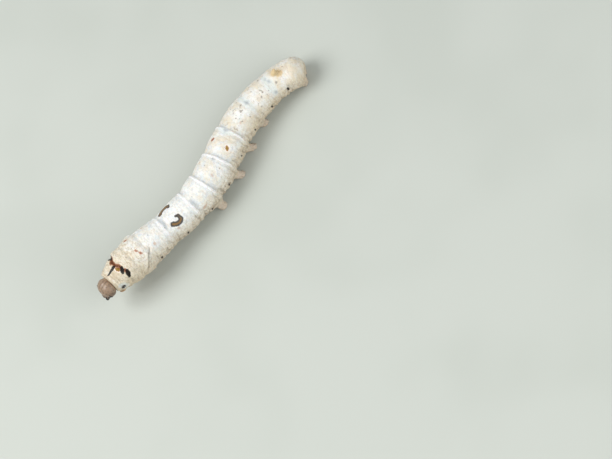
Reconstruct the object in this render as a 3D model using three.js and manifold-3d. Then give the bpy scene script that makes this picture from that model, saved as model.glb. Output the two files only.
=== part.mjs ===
// A full-grown silkworm larva, life size, as a still model.
// Millimetres, +Z up. The head points to -X and the left side faces -Y.
// The floor is Z = 0, and the origin lies on it under the middle of the bounding box.
import * as THREE from "three";
import { mergeVertices } from "three/addons/utils/BufferGeometryUtils.js";
import Module from "manifold-3d";

const wasm = await Module();
wasm.setup();

const { PI, sin, cos, hypot, atan2, exp, sign, abs, min, max } = Math;
const UP = new THREE.Vector3(0, 0, 1);
const GAP = 0.3; // between touching pieces
const SMALL_GAP = 0.2; // between the parts of the mouth

// The body from the neck to the tail, one row for each segment. length runs along the body's axis,
// middle is the radius at the fullest ring and waist the radius at the rear crease.
// heading is the axis's direction in plan at the rear crease, in degrees to the left of straight back,
// and climb is how steeply the axis rises towards the head there, in degrees.
const SEGMENTS = [
  { name: "prothorax", length: 4.0, middle: 3.4, waist: 3.85, heading: 3.5, climb: 9 },
  { name: "mesothorax", length: 3.0, middle: 4.3, waist: 4.25, heading: 1.3, climb: 9 },
  { name: "metathorax", length: 3.8, middle: 4.6, waist: 4.25, heading: -1.9, climb: 9 },
  { name: "abdomen_1", length: 6.3, middle: 4.1, waist: 3.6, heading: -1.6, climb: 8 },
  { name: "abdomen_2", length: 8.1, middle: 4.0, waist: 3.7, heading: 0.9, climb: 3 },
  { name: "abdomen_3", length: 5.3, middle: 4.3, waist: 4.05, heading: 10.2, climb: 0 },
  { name: "abdomen_4", length: 6.3, middle: 4.35, waist: 4.0, heading: 20.4, climb: 0 },
  { name: "abdomen_5", length: 6.7, middle: 4.25, waist: 3.85, heading: 17.9, climb: 1.5 },
  { name: "abdomen_6", length: 7.4, middle: 4.0, waist: 3.7, heading: 5.4, climb: 2.5 },
  { name: "abdomen_7", length: 6.3, middle: 3.75, waist: 3.4, heading: -5.2, climb: 2.5 },
  { name: "abdomen_8", length: 4.7, middle: 3.55, waist: 3.4, heading: -17, climb: 2.5 },
  { name: "abdomen_9", length: 1.4, middle: 3.5, waist: 3.4, heading: -30, climb: 2 },
  { name: "abdomen_10", length: 2.8, middle: 3.3, waist: 1.3, heading: -46, climb: 0 },
];
const NECK = { radius: 2.6, heading: 4, climb: 9 };
const LEVEL_SEGMENT = "abdomen_4"; // its rear crease is at the height that the belly's clearance gives
const BELLY_CLEARANCE = 1.55;

// The cross-section: round on the back, flatter below, with a fold of skin along each side.
const BELLY_DEPTH = 0.93; // share of the radius
const BELLY_SQUARENESS = 0.86; // exponent under 1, so that the belly is flatter than a circle
const SIDE_FOLD = { height: 0.085, angle: (114 * PI) / 180, spread: (20 * PI) / 180 };
const FULLNESS = 0.5; // exponent of the swelling between two creases; lower is fuller
const LEAN = 1.4; // exponent of the place in a segment; over 1, the fullest ring lies towards the rear
const STEPS_AROUND = 32;
const STEPS_ALONG = 7;

const CENTRE_SHIFT = new THREE.Vector3(-31.085, -2.87, 0); // puts the origin under the middle of the box

// Distance from the neck to the front crease of each segment, and the whole length.
const fronts = SEGMENTS.map((_, i) => SEGMENTS.slice(0, i).reduce((sum, row) => sum + row.length, 0));
const BODY_LENGTH = fronts.at(-1) + SEGMENTS.at(-1).length;
const indexOf = (name) => SEGMENTS.findIndex((row) => row.name === name);

// The place of s along the body: its segment's number and the share of that segment's length.
function placeOf(s) {
  let i = 0;
  while (i < SEGMENTS.length - 1 && s > fronts[i] + SEGMENTS[i].length) i += 1;
  return { i, share: (s - fronts[i]) / SEGMENTS[i].length };
}

// A quantity that is known at each crease, at s.
function along(key, s) {
  const { i, share } = placeOf(s);
  const before = i ? SEGMENTS[i - 1][key] : NECK[key];
  return THREE.MathUtils.lerp(before, SEGMENTS[i][key], share);
}

// The body's radius at s: the line between the two creases, and the segment's swelling on it.
function radiusAt(s) {
  const { i, share } = placeOf(s);
  const front = i ? SEGMENTS[i - 1].waist : NECK.radius;
  const rear = SEGMENTS[i].waist;
  const swelling = SEGMENTS[i].middle - (front + rear) / 2;
  const inside = min(max(share, 0), 1);
  return front + (rear - front) * inside + swelling * sin(PI * inside ** LEAN) ** FULLNESS;
}

// The axis is walked in short steps from the neck, turning as the headings say.
const WALK_STEP = 0.1;
const axisPoints = [new THREE.Vector3()];
for (let s = WALK_STEP / 2; s < BODY_LENGTH; s += WALK_STEP)
  axisPoints.push(axisPoints.at(-1).clone().addScaledVector(directionAt(s), WALK_STEP));

// Unit vector along the axis, towards the tail.
function directionAt(s) {
  const heading = THREE.MathUtils.degToRad(along("heading", s));
  const climb = THREE.MathUtils.degToRad(along("climb", s));
  return new THREE.Vector3(cos(climb) * cos(heading), cos(climb) * sin(heading), -sin(climb));
}

function walkedTo(s) {
  const step = min(max(s / WALK_STEP, 0), axisPoints.length - 1);
  const whole = min(Math.floor(step), axisPoints.length - 2);
  return axisPoints[whole].clone().lerp(axisPoints[whole + 1], step - whole);
}

const levelCrease = fronts[indexOf(LEVEL_SEGMENT) + 1];
const levelHeight = BELLY_CLEARANCE + BELLY_DEPTH * radiusAt(levelCrease);
const LIFT = CENTRE_SHIFT.clone().setZ(levelHeight - walkedTo(levelCrease).z);

// The axis's frame at s: its point, the way to the tail, the animal's left and its back.
function frameAt(s) {
  const tailward = directionAt(s);
  const back = UP.clone().addScaledVector(tailward, -UP.dot(tailward)).normalize();
  const left = tailward.clone().cross(back);
  return { point: walkedTo(s).add(LIFT), tailward, left, back };
}

// A point of the body's surface. angle is 0 on the back, positive to the left. depth 1 is the skin.
function surfacePoint(s, angle, depth = 1, proud = 0) {
  const { point, left, back } = frameAt(s);
  const radius = radiusAt(s);
  const power = cos(angle) < 0 ? BELLY_SQUARENESS : 1;
  const fold = 1 + SIDE_FOLD.height * exp(-(((abs(angle) - SIDE_FOLD.angle) / SIDE_FOLD.spread) ** 2));
  let sideways = radius * fold * sign(sin(angle)) * abs(sin(angle)) ** power;
  let upward = radius * sign(cos(angle)) * abs(cos(angle)) ** power;
  if (upward < 0) upward *= BELLY_DEPTH;
  const stretch = depth * (1 + proud / hypot(sideways, upward));
  sideways *= stretch;
  upward *= stretch;
  return point.addScaledVector(left, sideways).addScaledVector(back, upward);
}

// A closed mesh's geometry with only positions, its shared vertices merged.
function weld(geometry) {
  const bare = new THREE.BufferGeometry().setAttribute("position", geometry.getAttribute("position"));
  return mergeVertices(bare.setIndex(geometry.getIndex()), 1e-4);
}

// Moves each vertex of a geometry to where the function says.
function reshape(geometry, move) {
  const welded = weld(geometry);
  const position = welded.getAttribute("position");
  const vertex = new THREE.Vector3();
  for (let i = 0; i < position.count; i += 1) {
    vertex.fromBufferAttribute(position, i);
    position.setXYZ(i, ...move(vertex).toArray());
  }
  return welded;
}

function solidOf(geometry) {
  const welded = weld(geometry);
  return new wasm.Manifold(
    new wasm.Mesh({
      numProp: 3,
      vertProperties: new Float32Array(welded.getAttribute("position").array),
      triVerts: new Uint32Array(welded.getIndex().array),
    }),
  );
}

// The largest closed surface of a solid, as a geometry.
function geometryOf(solid) {
  const pieces = solid.decompose().sort((a, b) => b.volume() - a.volume());
  const { vertProperties, triVerts } = pieces[0].getMesh();
  return new THREE.BufferGeometry()
    .setAttribute("position", new THREE.BufferAttribute(new Float32Array(vertProperties), 3))
    .setIndex(new THREE.BufferAttribute(new Uint32Array(triVerts), 1));
}

const joined = (solids) => solids.reduce((whole, next) => whole.add(next));

// The places of a segment's rings, evenly spaced from crease to crease, with half the gap left at each.
function ringsOf(i) {
  const s0 = fronts[i] + (i ? GAP / 2 : 0);
  const s1 = fronts[i] + SEGMENTS[i].length - (i < SEGMENTS.length - 1 ? GAP / 2 : 0);
  return Array.from({ length: STEPS_ALONG + 1 }, (_, k) => s0 + ((s1 - s0) * k) / STEPS_ALONG);
}

// A stretch of the body through these rings as a closed surface, a cylinder moved onto the skin.
// proud grows it outwards, to cut room for what stands on the skin.
function bodyThrough(rings, proud = 0) {
  const steps = rings.length - 1;
  const cylinder = new THREE.CylinderGeometry(1, 1, 1, STEPS_AROUND, steps);
  return reshape(cylinder, ({ x, y, z }) => {
    const ring = rings[Math.round((y + 0.5) * steps)];
    const depth = min(hypot(x, z), 1);
    return surfacePoint(ring, depth ? atan2(x, z) : 0, depth, proud);
  });
}

// The body from the segment before this one to the segment after it, grown by the gap.
function roomAround(i) {
  const neighbours = [i - 1, i, i + 1].filter((k) => SEGMENTS[k]);
  return solidOf(bodyThrough(neighbours.flatMap(ringsOf), GAP));
}

// A limb along a curve: a cylinder whose rings follow the curve, with the radius that size gives.
// level rings stay parallel to the floor, so that the last of them is a flat sole.
function limb(curve, size, { around = 10, steps = 8, level = false, wide = 1 } = {}) {
  const cylinder = new THREE.CylinderGeometry(1, 1, 1, around, steps);
  return reshape(cylinder, ({ x, y, z }) => {
    const share = 0.5 - y;
    const centre = curve.getPoint(share);
    const ahead = level ? UP.clone().negate() : curve.getTangent(share);
    const across = new THREE.Vector3(1, 0, 0).addScaledVector(ahead, -ahead.x).normalize();
    const third = ahead.clone().cross(across);
    const radius = size(share);
    return centre.addScaledVector(across, x * radius * wide).addScaledVector(third, z * radius);
  });
}

// A radius that follows a few values, evenly spaced along a limb, with a smooth curve through them.
function tapering(...radii) {
  const curve = new THREE.SplineCurve(radii.map((radius, i) => new THREE.Vector2(i, radius)));
  return (share) => max(curve.getPoint(share).y, 0.04);
}

const MATERIALS = {
  skin: new THREE.MeshStandardMaterial({ color: 0xe9e3d6, roughness: 0.55, metalness: 0 }),
  flesh: new THREE.MeshStandardMaterial({ color: 0xdccbb8, roughness: 0.5, metalness: 0 }),
  capsule: new THREE.MeshStandardMaterial({ color: 0x8f7b70, roughness: 0.35, metalness: 0 }),
  jaw: new THREE.MeshStandardMaterial({ color: 0x1f1512, roughness: 0.3, metalness: 0 }),
  leg: new THREE.MeshStandardMaterial({ color: 0xb98f68, roughness: 0.45, metalness: 0 }),
};

const silkworm = new THREE.Group();

function place(parent, name, geometry, material) {
  const mesh = new THREE.Mesh(geometry, material);
  mesh.name = name;
  geometry.computeVertexNormals();
  parent.add(mesh);
  return mesh;
}

// Breathing holes: an oval rim on each side of the prothorax and of the first eight abdominal segments.
// share is the place along the segment, angle the turn from the middle of the back, and slant the lean
// of the oval's upper end towards the tail, both in degrees.
const SPIRACLE = { length: 0.5, width: 0.3, proud: 0.16, sunk: 0.5, flare: 1.25 };
const BREATHING = {
  prothorax: { share: 0.39, angle: 92, slant: -59 },
  abdomen_1: { share: 0.27, angle: 98 },
  abdomen_2: { share: 0.41, angle: 101 },
  abdomen_3: { share: 0.42, angle: 101 },
  abdomen_4: { share: 0.44, angle: 100 },
  abdomen_5: { share: 0.47, angle: 94 },
  abdomen_6: { share: 0.5, angle: 94 },
  abdomen_7: { share: 0.57, angle: 92.5 },
  abdomen_8: { share: 0.73, angle: 80 },
};

function spiracle(i, side) {
  const { share, angle, slant = 0 } = BREATHING[SEGMENTS[i].name];
  const s = fronts[i] + share * SEGMENTS[i].length;
  const turn = side * THREE.MathUtils.degToRad(angle);
  const { tailward } = frameAt(s);
  const centre = surfacePoint(s, turn);
  const outward = surfacePoint(s, turn, 1, 1).sub(centre).normalize();
  const upright = outward.clone().cross(tailward).multiplyScalar(side).normalize();
  upright.applyAxisAngle(outward, -side * THREE.MathUtils.degToRad(slant));
  const disc = new THREE.CylinderGeometry(1, SPIRACLE.flare, 1, 10, 1);
  return reshape(disc, ({ x, y, z }) =>
    centre
      .clone()
      .addScaledVector(outward, y > 0 ? SPIRACLE.proud : -SPIRACLE.sunk)
      .addScaledVector(upright, z * SPIRACLE.length)
      .addScaledVector(outward.clone().cross(upright), x * SPIRACLE.width),
  );
}

// The segments, each parted from the next at its crease.
SEGMENTS.forEach((row, i) => {
  let solid = solidOf(bodyThrough(ringsOf(i)));
  if (BREATHING[row.name])
    solid = joined([solid, ...[1, -1].map((side) => solidOf(spiracle(i, side)))]);
  place(silkworm, row.name, geometryOf(solid), MATERIALS.skin);
});

const clearOfBody = (geometry, i) => geometryOf(solidOf(geometry).subtract(roomAround(i)));

const SIDES = { left: 1, right: -1 };

// Prolegs: a fleshy pair under abdominal segments 3 to 6, whose flat soles carry the body.
// share and spread say where each sole stands: along its segment, and out from the axis.
const PROLEGS = [
  { number: 3, share: 0.8, spread: 3.6 },
  { number: 4, share: 1.02, spread: 3.7 },
  { number: 5, share: 1.06, spread: 3.2 },
  { number: 6, share: 0.95, spread: 2.4 },
];
const PROLEG_ROOT = { share: 0.72, angle: (143 * PI) / 180, depth: 0.55 };
const PROLEG_KNEE = { share: 0.6, outwards: 0.3 };
const PROLEG_SHAPE = { around: 12, steps: 6, level: true, wide: 1.12 };
const PROLEG_SIZE = tapering(1.8, 1.5, 1.15, 0.98, 0.92);

function proleg({ number, share, spread }, side) {
  const i = indexOf(`abdomen_${number}`);
  const { length } = SEGMENTS[i];
  const rootPlace = fronts[i] + PROLEG_ROOT.share * length;
  const root = surfacePoint(rootPlace, side * PROLEG_ROOT.angle, PROLEG_ROOT.depth);
  const { point, left } = frameAt(fronts[i] + share * length);
  const sole = point.clone().addScaledVector(left, side * spread).setZ(0);
  const knee = root.clone().lerp(sole, PROLEG_KNEE.share).addScaledVector(left, side * PROLEG_KNEE.outwards);
  const curve = new THREE.QuadraticBezierCurve3(root, knee, sole);
  return clearOfBody(limb(curve, PROLEG_SIZE, PROLEG_SHAPE), i);
}

for (const row of PROLEGS)
  for (const [word, side] of Object.entries(SIDES))
    place(silkworm, `proleg_${row.number}_${word}`, proleg(row, side), MATERIALS.flesh);

// Anal prolegs: the pair of claspers under the last segment.
const CLASPER = { share: 0.3, spread: 1.2, back: 0.3 };
const CLASPER_ROOT = { angle: (128 * PI) / 180, depth: 0.55 };
const CLASPER_HEEL = { share: 0.5, back: 0.4 };
const CLASPER_SHAPE = { around: 12, steps: 6, level: true, wide: 1.1 };
const CLASPER_SIZE = tapering(1.4, 1.4, 1.25, 0.95, 0.88);

function clasper(side) {
  const i = indexOf("abdomen_10");
  const s = fronts[i] + CLASPER.share * SEGMENTS[i].length;
  const { point, left, tailward } = frameAt(s);
  const root = surfacePoint(s, side * CLASPER_ROOT.angle, CLASPER_ROOT.depth);
  const sole = point.clone().addScaledVector(left, side * CLASPER.spread);
  sole.addScaledVector(tailward, CLASPER.back).setZ(0);
  const heel = root.clone().lerp(sole, CLASPER_HEEL.share).addScaledVector(tailward, CLASPER_HEEL.back);
  const curve = new THREE.QuadraticBezierCurve3(root, heel, sole);
  return clearOfBody(limb(curve, CLASPER_SIZE, CLASPER_SHAPE), i);
}

for (const [word, side] of Object.entries(SIDES))
  place(silkworm, `anal_proleg_${word}`, clasper(side), MATERIALS.flesh);

// True legs: a jointed pair under each thoracic segment, bent forwards and inwards to a hooked claw.
const TRUE_LEG = { share: 0.42, reach: 2.5, forward: 0.9, inward: 0.55 };
const TRUE_LEG_ROOT = { angle: (146 * PI) / 180, depth: 0.72 };
const TRUE_LEG_KNEE = { share: 0.55, outwards: 0.6 };
const TRUE_LEG_SHAPE = { around: 9, steps: 9 };
const TRUE_LEG_SIZE = tapering(0.95, 0.86, 0.62, 0.66, 0.46, 0.5, 0.33, 0.3, 0.08);

function trueLeg(i, side) {
  const s = fronts[i] + TRUE_LEG.share * SEGMENTS[i].length;
  const { left, back, tailward } = frameAt(s);
  const root = surfacePoint(s, side * TRUE_LEG_ROOT.angle, TRUE_LEG_ROOT.depth);
  const knee = root.clone().addScaledVector(back, -TRUE_LEG_KNEE.share * TRUE_LEG.reach);
  knee.addScaledVector(left, side * TRUE_LEG_KNEE.outwards);
  const claw = root.clone().addScaledVector(back, -TRUE_LEG.reach);
  claw.addScaledVector(tailward, -TRUE_LEG.forward).addScaledVector(left, -side * TRUE_LEG.inward);
  const curve = new THREE.QuadraticBezierCurve3(root, knee, claw);
  return clearOfBody(limb(curve, TRUE_LEG_SIZE, TRUE_LEG_SHAPE), i);
}

for (const name of ["prothorax", "mesothorax", "metathorax"])
  for (const [word, side] of Object.entries(SIDES))
    place(silkworm, `leg_${name}_${word}`, trueLeg(indexOf(name), side), MATERIALS.leg);

// The tail horn stands on the back of abdominal segment 8 and leans to the rear.
const HORN = { share: 0.55, sunk: 0.7, length: 1.7, lean: 0.95 };
const HORN_BEND = { share: 0.55, lean: 0.2 };
const HORN_SHAPE = { around: 10, steps: 6 };
const HORN_SIZE = tapering(0.95, 0.8, 0.6, 0.42, 0.2);

function horn() {
  const i = indexOf("abdomen_8");
  const s = fronts[i] + HORN.share * SEGMENTS[i].length;
  const { back, tailward } = frameAt(s);
  const skin = surfacePoint(s, 0);
  const root = skin.clone().addScaledVector(back, -HORN.sunk);
  const bend = skin.clone().addScaledVector(back, HORN_BEND.share * HORN.length);
  bend.addScaledVector(tailward, HORN_BEND.lean);
  const tip = skin.clone().addScaledVector(back, HORN.length).addScaledVector(tailward, HORN.lean);
  const curve = new THREE.QuadraticBezierCurve3(root, bend, tip);
  return clearOfBody(limb(curve, HORN_SIZE, HORN_SHAPE), i);
}

place(silkworm, "horn", horn(), MATERIALS.flesh);

// The head is a hard capsule, bent down at the neck. Its own axes are x towards the mouth,
// y to the animal's left and z out of the face.
const HEAD = { halfWidth: 2.5, up: 2.25, down: 2.0, front: 1.8, rear: 1.65 };
const HEAD_PLACE = { ahead: 1.25, drop: 0.35, aside: 0.15, nod: 55 }; // from the neck, nod in degrees
// The groove between the two halves of the crown. It fades out at these shares of the head's length
// and depth, over the share that fade gives.
const SEAM = { depth: 0.16, width: 0.28, mouthward: 0.55, rearward: 0.6, fade: 0.8 };
const MUZZLE_NARROWING = 0.3;

const neckFrame = frameAt(0);
const nod = THREE.MathUtils.degToRad(HEAD_PLACE.nod);
const forward = neckFrame.tailward.clone().negate().setZ(0).normalize();
const mouthward = forward.clone().multiplyScalar(cos(nod)).addScaledVector(UP, -sin(nod));
const leftward = neckFrame.left.clone();
const faceward = mouthward.clone().cross(leftward);
const head = new THREE.Group();
head.position.copy(neckFrame.point).addScaledVector(forward, HEAD_PLACE.ahead);
head.position.addScaledVector(UP, -HEAD_PLACE.drop).addScaledVector(leftward, HEAD_PLACE.aside);
head.quaternion.setFromRotationMatrix(new THREE.Matrix4().makeBasis(mouthward, leftward, faceward));
head.updateMatrix();
silkworm.add(head);

// A point of the capsule for a direction from its centre, grown by proud.
function capsulePoint(direction, proud = 0) {
  const { x, y, z } = direction;
  const narrowing = 1 - MUZZLE_NARROWING * max(x, 0) ** 2;
  const length = x > 0 ? HEAD.down : HEAD.up;
  const depth = z > 0 ? HEAD.front : HEAD.rear;
  const { smoothstep } = THREE.MathUtils;
  const crown = smoothstep(SEAM.mouthward - x, 0, SEAM.fade) * smoothstep(SEAM.rearward + z, 0, SEAM.fade);
  const groove = SEAM.depth * crown * exp(-(((y * HEAD.halfWidth) / SEAM.width) ** 2));
  const point = new THREE.Vector3(x * length, y * HEAD.halfWidth * narrowing, z * depth * narrowing);
  const size = point.length();
  return point.multiplyScalar((size - groove + proud) / size);
}

function capsule(proud = 0, columns = 28, rows = 18) {
  const sphere = new THREE.SphereGeometry(1, columns, rows).rotateZ(-PI / 2);
  return reshape(sphere, (vertex) => capsulePoint(vertex.normalize(), proud));
}

// The unit direction from the capsule's centre that turns by these angles from the face's middle:
// across to the left, and down towards the mouth, in degrees.
function faceDirection(across, down) {
  const a = THREE.MathUtils.degToRad(across);
  const d = THREE.MathUtils.degToRad(down);
  return new THREE.Vector3(sin(d), sin(a) * cos(d), cos(a) * cos(d));
}

// The six simple eyes of each side, five in an arc and one behind them, as domes on the capsule.
const EYE = { radius: 0.17, sunk: 0.04 };
const EYE_PLACES = [
  [58, 6],
  [68, 13],
  [72, 23],
  [67, 33],
  [56, 37],
  [84, 27],
];

function simpleEyes() {
  const eyes = [];
  for (const side of Object.values(SIDES))
    for (const [across, down] of EYE_PLACES) {
      const centre = capsulePoint(faceDirection(side * across, down), -EYE.sunk);
      eyes.push(solidOf(new THREE.SphereGeometry(EYE.radius, 7, 5).translate(...centre.toArray())));
    }
  return eyes;
}

const bodyForHead = solidOf(bodyThrough(ringsOf(0), GAP).applyMatrix4(head.matrix.clone().invert()));
const capsuleSolid = joined([solidOf(capsule()), ...simpleEyes()]).subtract(bodyForHead);
place(head, "head_capsule", geometryOf(capsuleSolid), MATERIALS.capsule);

// The parts of the mouth stand on the capsule's lower end. Each is an ellipsoid with its own centre
// and half sizes in the head's axes, cut clear of the capsule.
const roundedRoom = solidOf(capsule(SMALL_GAP));
const clearOfHead = (geometry) => geometryOf(solidOf(geometry).subtract(roundedRoom));

function lobe([x, y, z], [length, width, depth], shape = (v) => v) {
  const ball = new THREE.SphereGeometry(1, 12, 10).rotateZ(-PI / 2);
  return reshape(ball, (vertex) => {
    const v = shape(vertex.clone());
    return new THREE.Vector3(x + v.x * length, y + v.y * width, z + v.z * depth);
  });
}

// The upper lip is a plate with a notch in the middle of its edge.
const LABRUM = { centre: [1.8, 0, 0.78], half: [0.6, 0.8, 0.34] };
const NOTCH = { depth: 0.35, width: 0.3 }; // shares of the lip's length and half width
const notched = (v) => v.setX(v.x * (1 - (v.x > 0 ? NOTCH.depth : 0) * exp(-((v.y / NOTCH.width) ** 2))));
place(head, "labrum", clearOfHead(lobe(LABRUM.centre, LABRUM.half, notched)), MATERIALS.capsule);

// The lower lip carries the spinneret, the small tube that the silk leaves by.
const LABIUM = { centre: [1.85, 0, -0.72], half: [0.62, 0.5, 0.42] };
const SPINNERET = { tip: 0.2, root: 0.26, length: 1.1, around: 8, middle: [2.45, 0, -0.72] };

function labium() {
  const { tip, root, length, around, middle } = SPINNERET;
  const tube = new THREE.CylinderGeometry(tip, root, length, around).rotateZ(-PI / 2).translate(...middle);
  return solidOf(lobe(LABIUM.centre, LABIUM.half)).add(solidOf(tube)).subtract(roundedRoom);
}

place(head, "labium_and_spinneret", geometryOf(labium()), MATERIALS.flesh);

// Antennae of three joints stand outside the jaws. root and tip are places on the capsule, sunk or proud.
const ANTENNA_ROOT = { across: 50, down: 46, proud: -0.4 };
const ANTENNA_TIP = { across: 54, down: 52, proud: 0.75, forward: 0.25 };
const ANTENNA_SHAPE = { around: 8, steps: 8 };
const ANTENNA_SIZE = tapering(0.36, 0.34, 0.25, 0.27, 0.19, 0.17, 0.08);

function antenna(side) {
  const root = capsulePoint(faceDirection(side * ANTENNA_ROOT.across, ANTENNA_ROOT.down), ANTENNA_ROOT.proud);
  const tip = capsulePoint(faceDirection(side * ANTENNA_TIP.across, ANTENNA_TIP.down), ANTENNA_TIP.proud);
  tip.x += ANTENNA_TIP.forward;
  return limb(new THREE.LineCurve3(root, tip), ANTENNA_SIZE, ANTENNA_SHAPE);
}

// The jaws close under the upper lip, and the maxillae lie behind them.
const MANDIBLE = { along: 2.18, aside: 0.5, out: 0.06, half: [0.92, 0.42, 0.44] };
const MAXILLA = { along: 1.75, aside: 0.98, out: -0.62, half: [0.72, 0.3, 0.36] };

for (const [word, side] of Object.entries(SIDES)) {
  const jaw = lobe([MANDIBLE.along, side * MANDIBLE.aside, MANDIBLE.out], MANDIBLE.half);
  place(head, `mandible_${word}`, clearOfHead(jaw), MATERIALS.jaw);
  const palp = lobe([MAXILLA.along, side * MAXILLA.aside, MAXILLA.out], MAXILLA.half);
  place(head, `maxilla_${word}`, clearOfHead(palp), MATERIALS.flesh);
  place(head, `antenna_${word}`, clearOfHead(antenna(side)), MATERIALS.flesh);
}

export default silkworm;
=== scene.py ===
"""A life-size model of a full-grown silkworm larva at rest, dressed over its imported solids.

Sizes are in millimetres until a mesh is written, and Blender's own are in metres. The head points
to -X, the animal's left side faces -Y and the floor is Z = 0. A place on the body is given as its
distance from the neck along the axis and its angle from the middle of the back, left positive.
"""
import logging
import math
from dataclasses import dataclass, field
from enum import Enum
from typing import Callable, Iterable

import bpy
import numpy as np
from mathutils import Matrix, Vector, noise


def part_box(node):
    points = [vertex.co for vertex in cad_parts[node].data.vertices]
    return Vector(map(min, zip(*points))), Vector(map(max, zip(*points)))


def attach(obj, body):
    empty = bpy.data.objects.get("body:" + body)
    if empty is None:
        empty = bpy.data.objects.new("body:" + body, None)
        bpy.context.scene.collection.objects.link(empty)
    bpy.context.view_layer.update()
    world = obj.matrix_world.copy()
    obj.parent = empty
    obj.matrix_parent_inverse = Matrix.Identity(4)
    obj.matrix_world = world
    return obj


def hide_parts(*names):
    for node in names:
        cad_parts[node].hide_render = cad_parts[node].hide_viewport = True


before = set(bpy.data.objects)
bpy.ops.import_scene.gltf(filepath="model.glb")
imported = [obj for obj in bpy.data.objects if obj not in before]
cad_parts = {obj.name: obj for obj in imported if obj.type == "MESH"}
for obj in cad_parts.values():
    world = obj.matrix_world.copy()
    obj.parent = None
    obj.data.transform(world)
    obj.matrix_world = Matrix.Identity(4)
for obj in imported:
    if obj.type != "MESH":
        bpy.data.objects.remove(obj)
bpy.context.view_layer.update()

Array = np.ndarray
Piece = bpy.types.Object
Socket = bpy.types.NodeSocket
Steps = tuple[tuple[float, float], ...]
Placer = Callable[[Array, Array], Array]

LOG = logging.getLogger("silkworm")
MM = 0.001
UP = np.array([0.0, 0.0, 1.0])


class Side(Enum):
    """The animal's two sides, with the sign that an angle takes on each."""

    LEFT = 1
    RIGHT = -1

    @property
    def word(self) -> str:
        """The word that the node names use."""
        return self.name.lower()


# The plan of the body

@dataclass(frozen=True)
class Segment:
    """One segment: length on the axis, radii at the middle and the rear crease, and the axis's course.

    heading is in degrees to the left of straight back, and climb is the rise towards the head.
    """

    name: str
    length: float
    middle: float
    waist: float
    heading: float
    climb: float


SEGMENTS = (
    Segment("prothorax", 4.0, 3.4, 3.85, 3.5, 9),
    Segment("mesothorax", 3.0, 4.3, 4.25, 1.3, 9),
    Segment("metathorax", 3.8, 4.6, 4.25, -1.9, 9),
    Segment("abdomen_1", 6.3, 4.1, 3.6, -1.6, 8),
    Segment("abdomen_2", 8.1, 4.0, 3.7, 0.9, 3),
    Segment("abdomen_3", 5.3, 4.3, 4.05, 10.2, 0),
    Segment("abdomen_4", 6.3, 4.35, 4.0, 20.4, 0),
    Segment("abdomen_5", 6.7, 4.25, 3.85, 17.9, 1.5),
    Segment("abdomen_6", 7.4, 4.0, 3.7, 5.4, 2.5),
    Segment("abdomen_7", 6.3, 3.75, 3.4, -5.2, 2.5),
    Segment("abdomen_8", 4.7, 3.55, 3.4, -17, 2.5),
    Segment("abdomen_9", 1.4, 3.5, 3.4, -30, 2),
    Segment("abdomen_10", 2.8, 3.3, 1.3, -46, 0),
)


def unit(vectors: Array) -> Array:
    """The vectors, each scaled to length one."""
    return vectors / np.linalg.norm(vectors, axis=-1, keepdims=True)


def smooth_between(low: float, high: float, values: Array) -> Array:
    """0 below low, 1 above high and a smooth rise from one to the other."""
    share = np.clip((values - low) / (high - low), 0, 1)
    return share * share * (3 - 2 * share)


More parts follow.
